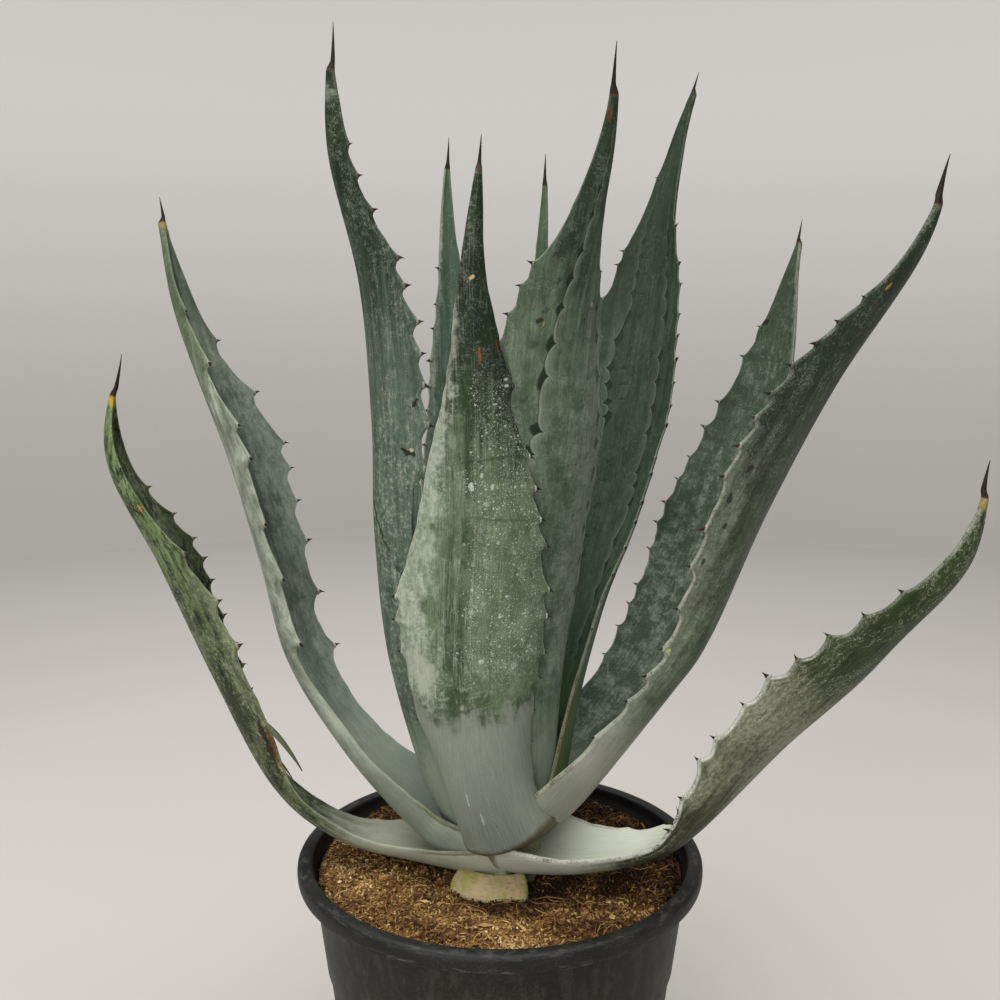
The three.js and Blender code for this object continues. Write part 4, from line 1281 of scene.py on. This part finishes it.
def makeSpear():
    t = np.linspace(0, 1, turning["rows"])[None, :, None]
    u = np.linspace(-1, 1, turning["columns"])[None, None]
    horn = smoothStep(t, spear["hornFrom"], spear["hornTo"])
    bladeMap, bladeShare = skinFields(spear["length"], u, t, spear["half"], 1, horn, spear["within"])
    fields = {"bladeMap": tubeField(bladeMap), "bladeShare": tubeField(bladeShare)}
    shape = closedTubes(turnedRings(spear["outline"], wrap))
    makePiece("rolledSpear", shape, leafMaterial(spear["leaf"]), "central_spear", fields)


# The stump of the cut leaf: a section of [radius, height] from its foot up the sloping front, over the top
# and down behind, the angles in degrees where it starts and ends, and how much further it goes at its top
stump = {
    "section": [[29, 214.3], [40.5, 214.5], [42, 217.5], [40.2, 221.5], [35, 227.5], [31, 230.2],
                [28.5, 229], [28.3, 216]],
    "from": 216, "to": 296, "moreFrom": 5, "moreTo": 6, "foot": 215, "rise": 14,
    "rows": 60, "columns": 64, "rough": 0.25, "roughSize": 3.0, "endFrom": 0.95, "endCut": 0.15,
    "tones": {"pale": (172, 154, 116), "green": (146, 142, 84), "brown": (120, 84, 54)},
}


def makeStump():
    # Its section, rounded by a closed curve, carried along an arc round the stem's foot, smaller at the ends
    share = np.linspace(0, 1, stump["rows"])[:, None]
    turn = np.linspace(0, 1, stump["columns"], endpoint=False)[None]
    section = np.array(stump["section"] + stump["section"][:1], float)
    middle = section[:-1].mean(0)
    out, up = along(section[:, 0], turn), along(section[:, 1], turn)
    high = np.clip((up - stump["foot"]) / stump["rise"], 0, 1)
    start, end = stump["from"] - stump["moreFrom"] * high, stump["to"] + stump["moreTo"] * high
    angle = np.radians(blend(start, end, share))
    ends = 1 - stump["endCut"] * smoothStep(np.abs(2 * share - 1), stump["endFrom"], 1)
    rough = stump["rough"] * lumps(np.degrees(angle), 40 * turn + 0 * angle, stump["roughSize"], 8)
    radius = middle[0] + (out - middle[0]) * ends + rough
    height = middle[1] + (up - middle[1]) * ends + rough
    shape = closedTubes((carriedRound(radius, angle, height) + plantShift)[None])
    makePiece("cutLeafStub", shape, dryFlesh("cutFlesh", stump["tones"]), "cut_leaf_stub")


makeStem()
makeSpear()
makeStump()
print("stem, spear and stump made")


# Studio, in metres: a pale floor, a curved backdrop far behind with painted light that makes it paler towards
# its top, a wide soft light overhead, a weaker one in front on the left, and fill from all round
studio = {
    "floorRadius": 2.4, "coveRadius": 3.4, "wallTop": 3.6, "segments": 128, "coveSteps": 16, "middle": 0.05,
    "aim": (0.0, 0.0, 0.4), "fill": 0.34, "fillColour": (1.0, 0.985, 0.96, 1.0),
    "lights": {
        "overheadLight": {"place": (-0.1, 0.0, 2.7), "size": 2.6, "power": 95.0},
        "frontLight": {"place": (-1.0, -2.1, 1.3), "size": 1.8, "power": 32.0},
    },
}


def paleGround():
    material, w = newMaterial("paleGround", 0.5)
    place = w.place()
    cloud = w.noise(place, 1.2)
    colour = w.mix(cloud, (176, 172, 166), (186, 183, 177))
    # paler with height: painted light on the upper backdrop
    colour = w.mix(w.split(place)[2].between(0.0, 1.4), colour, (236, 234, 230))
    return finishMaterial(material, w, colour, cloud * 0.1 + 0.8)


def makeGround():
    # The floor is closed in the middle by one face. Only the camera sees the backdrop.
    material = paleGround()
    floor, cove = studio["floorRadius"], studio["coveRadius"] - studio["floorRadius"]
    bow = np.linspace(0, math.pi / 2, studio["coveSteps"])
    curve = np.stack([floor + cove * np.sin(bow), cove * (1 - np.cos(bow))], -1)
    backdrop = np.concatenate([curve, [[studio["coveRadius"], studio["wallTop"]]]])
    flat = np.array([[studio["middle"], 0.0], [floor, 0.0]])
    for name, outline, seen in (("studioFloor", flat, True), ("studioBackdrop", backdrop, False)):
        rings = carriedRound(outline[:, 0, None], roundAngles(studio["segments"])[None], outline[:, 1, None])
        index = np.arange(rings[..., 0].size).reshape(rings.shape[:2])
        faces = ringQuads(index)
        if seen:
            faces.append(index[0].tolist())
        mesh = newMesh(name, (rings.reshape(-1, 3), faces), scale=1.0)
        mesh.materials.append(material)
        stage = addObject(name, mesh)
        stage.visible_diffuse = seen
        stage.visible_glossy = seen
        stage.visible_shadow = seen


def makeLights():
    for name, light in studio["lights"].items():
        data = bpy.data.lights.new(name, "AREA")
        data.size = light["size"]
        data.energy = light["power"]
        lamp = addObject(name, data)
        lamp.location = light["place"]
        away = np.array(light["place"]) - np.array(studio["aim"])
        lean = math.atan2(math.hypot(away[0], away[1]), away[2])
        lamp.rotation_euler = (lean, 0, math.atan2(away[0], -away[1]))
        lamp.visible_camera = False
    world = bpy.data.worlds.new("studioWorld")
    world.use_nodes = True
    background = world.node_tree.nodes["Background"].inputs
    background["Color"].default_value = studio["fillColour"]
    background["Strength"].default_value = studio["fill"]
    bpy.context.scene.world = world
    bpy.context.scene.view_settings.view_transform = "Standard"


makeGround()
makeLights()
print("studio made")
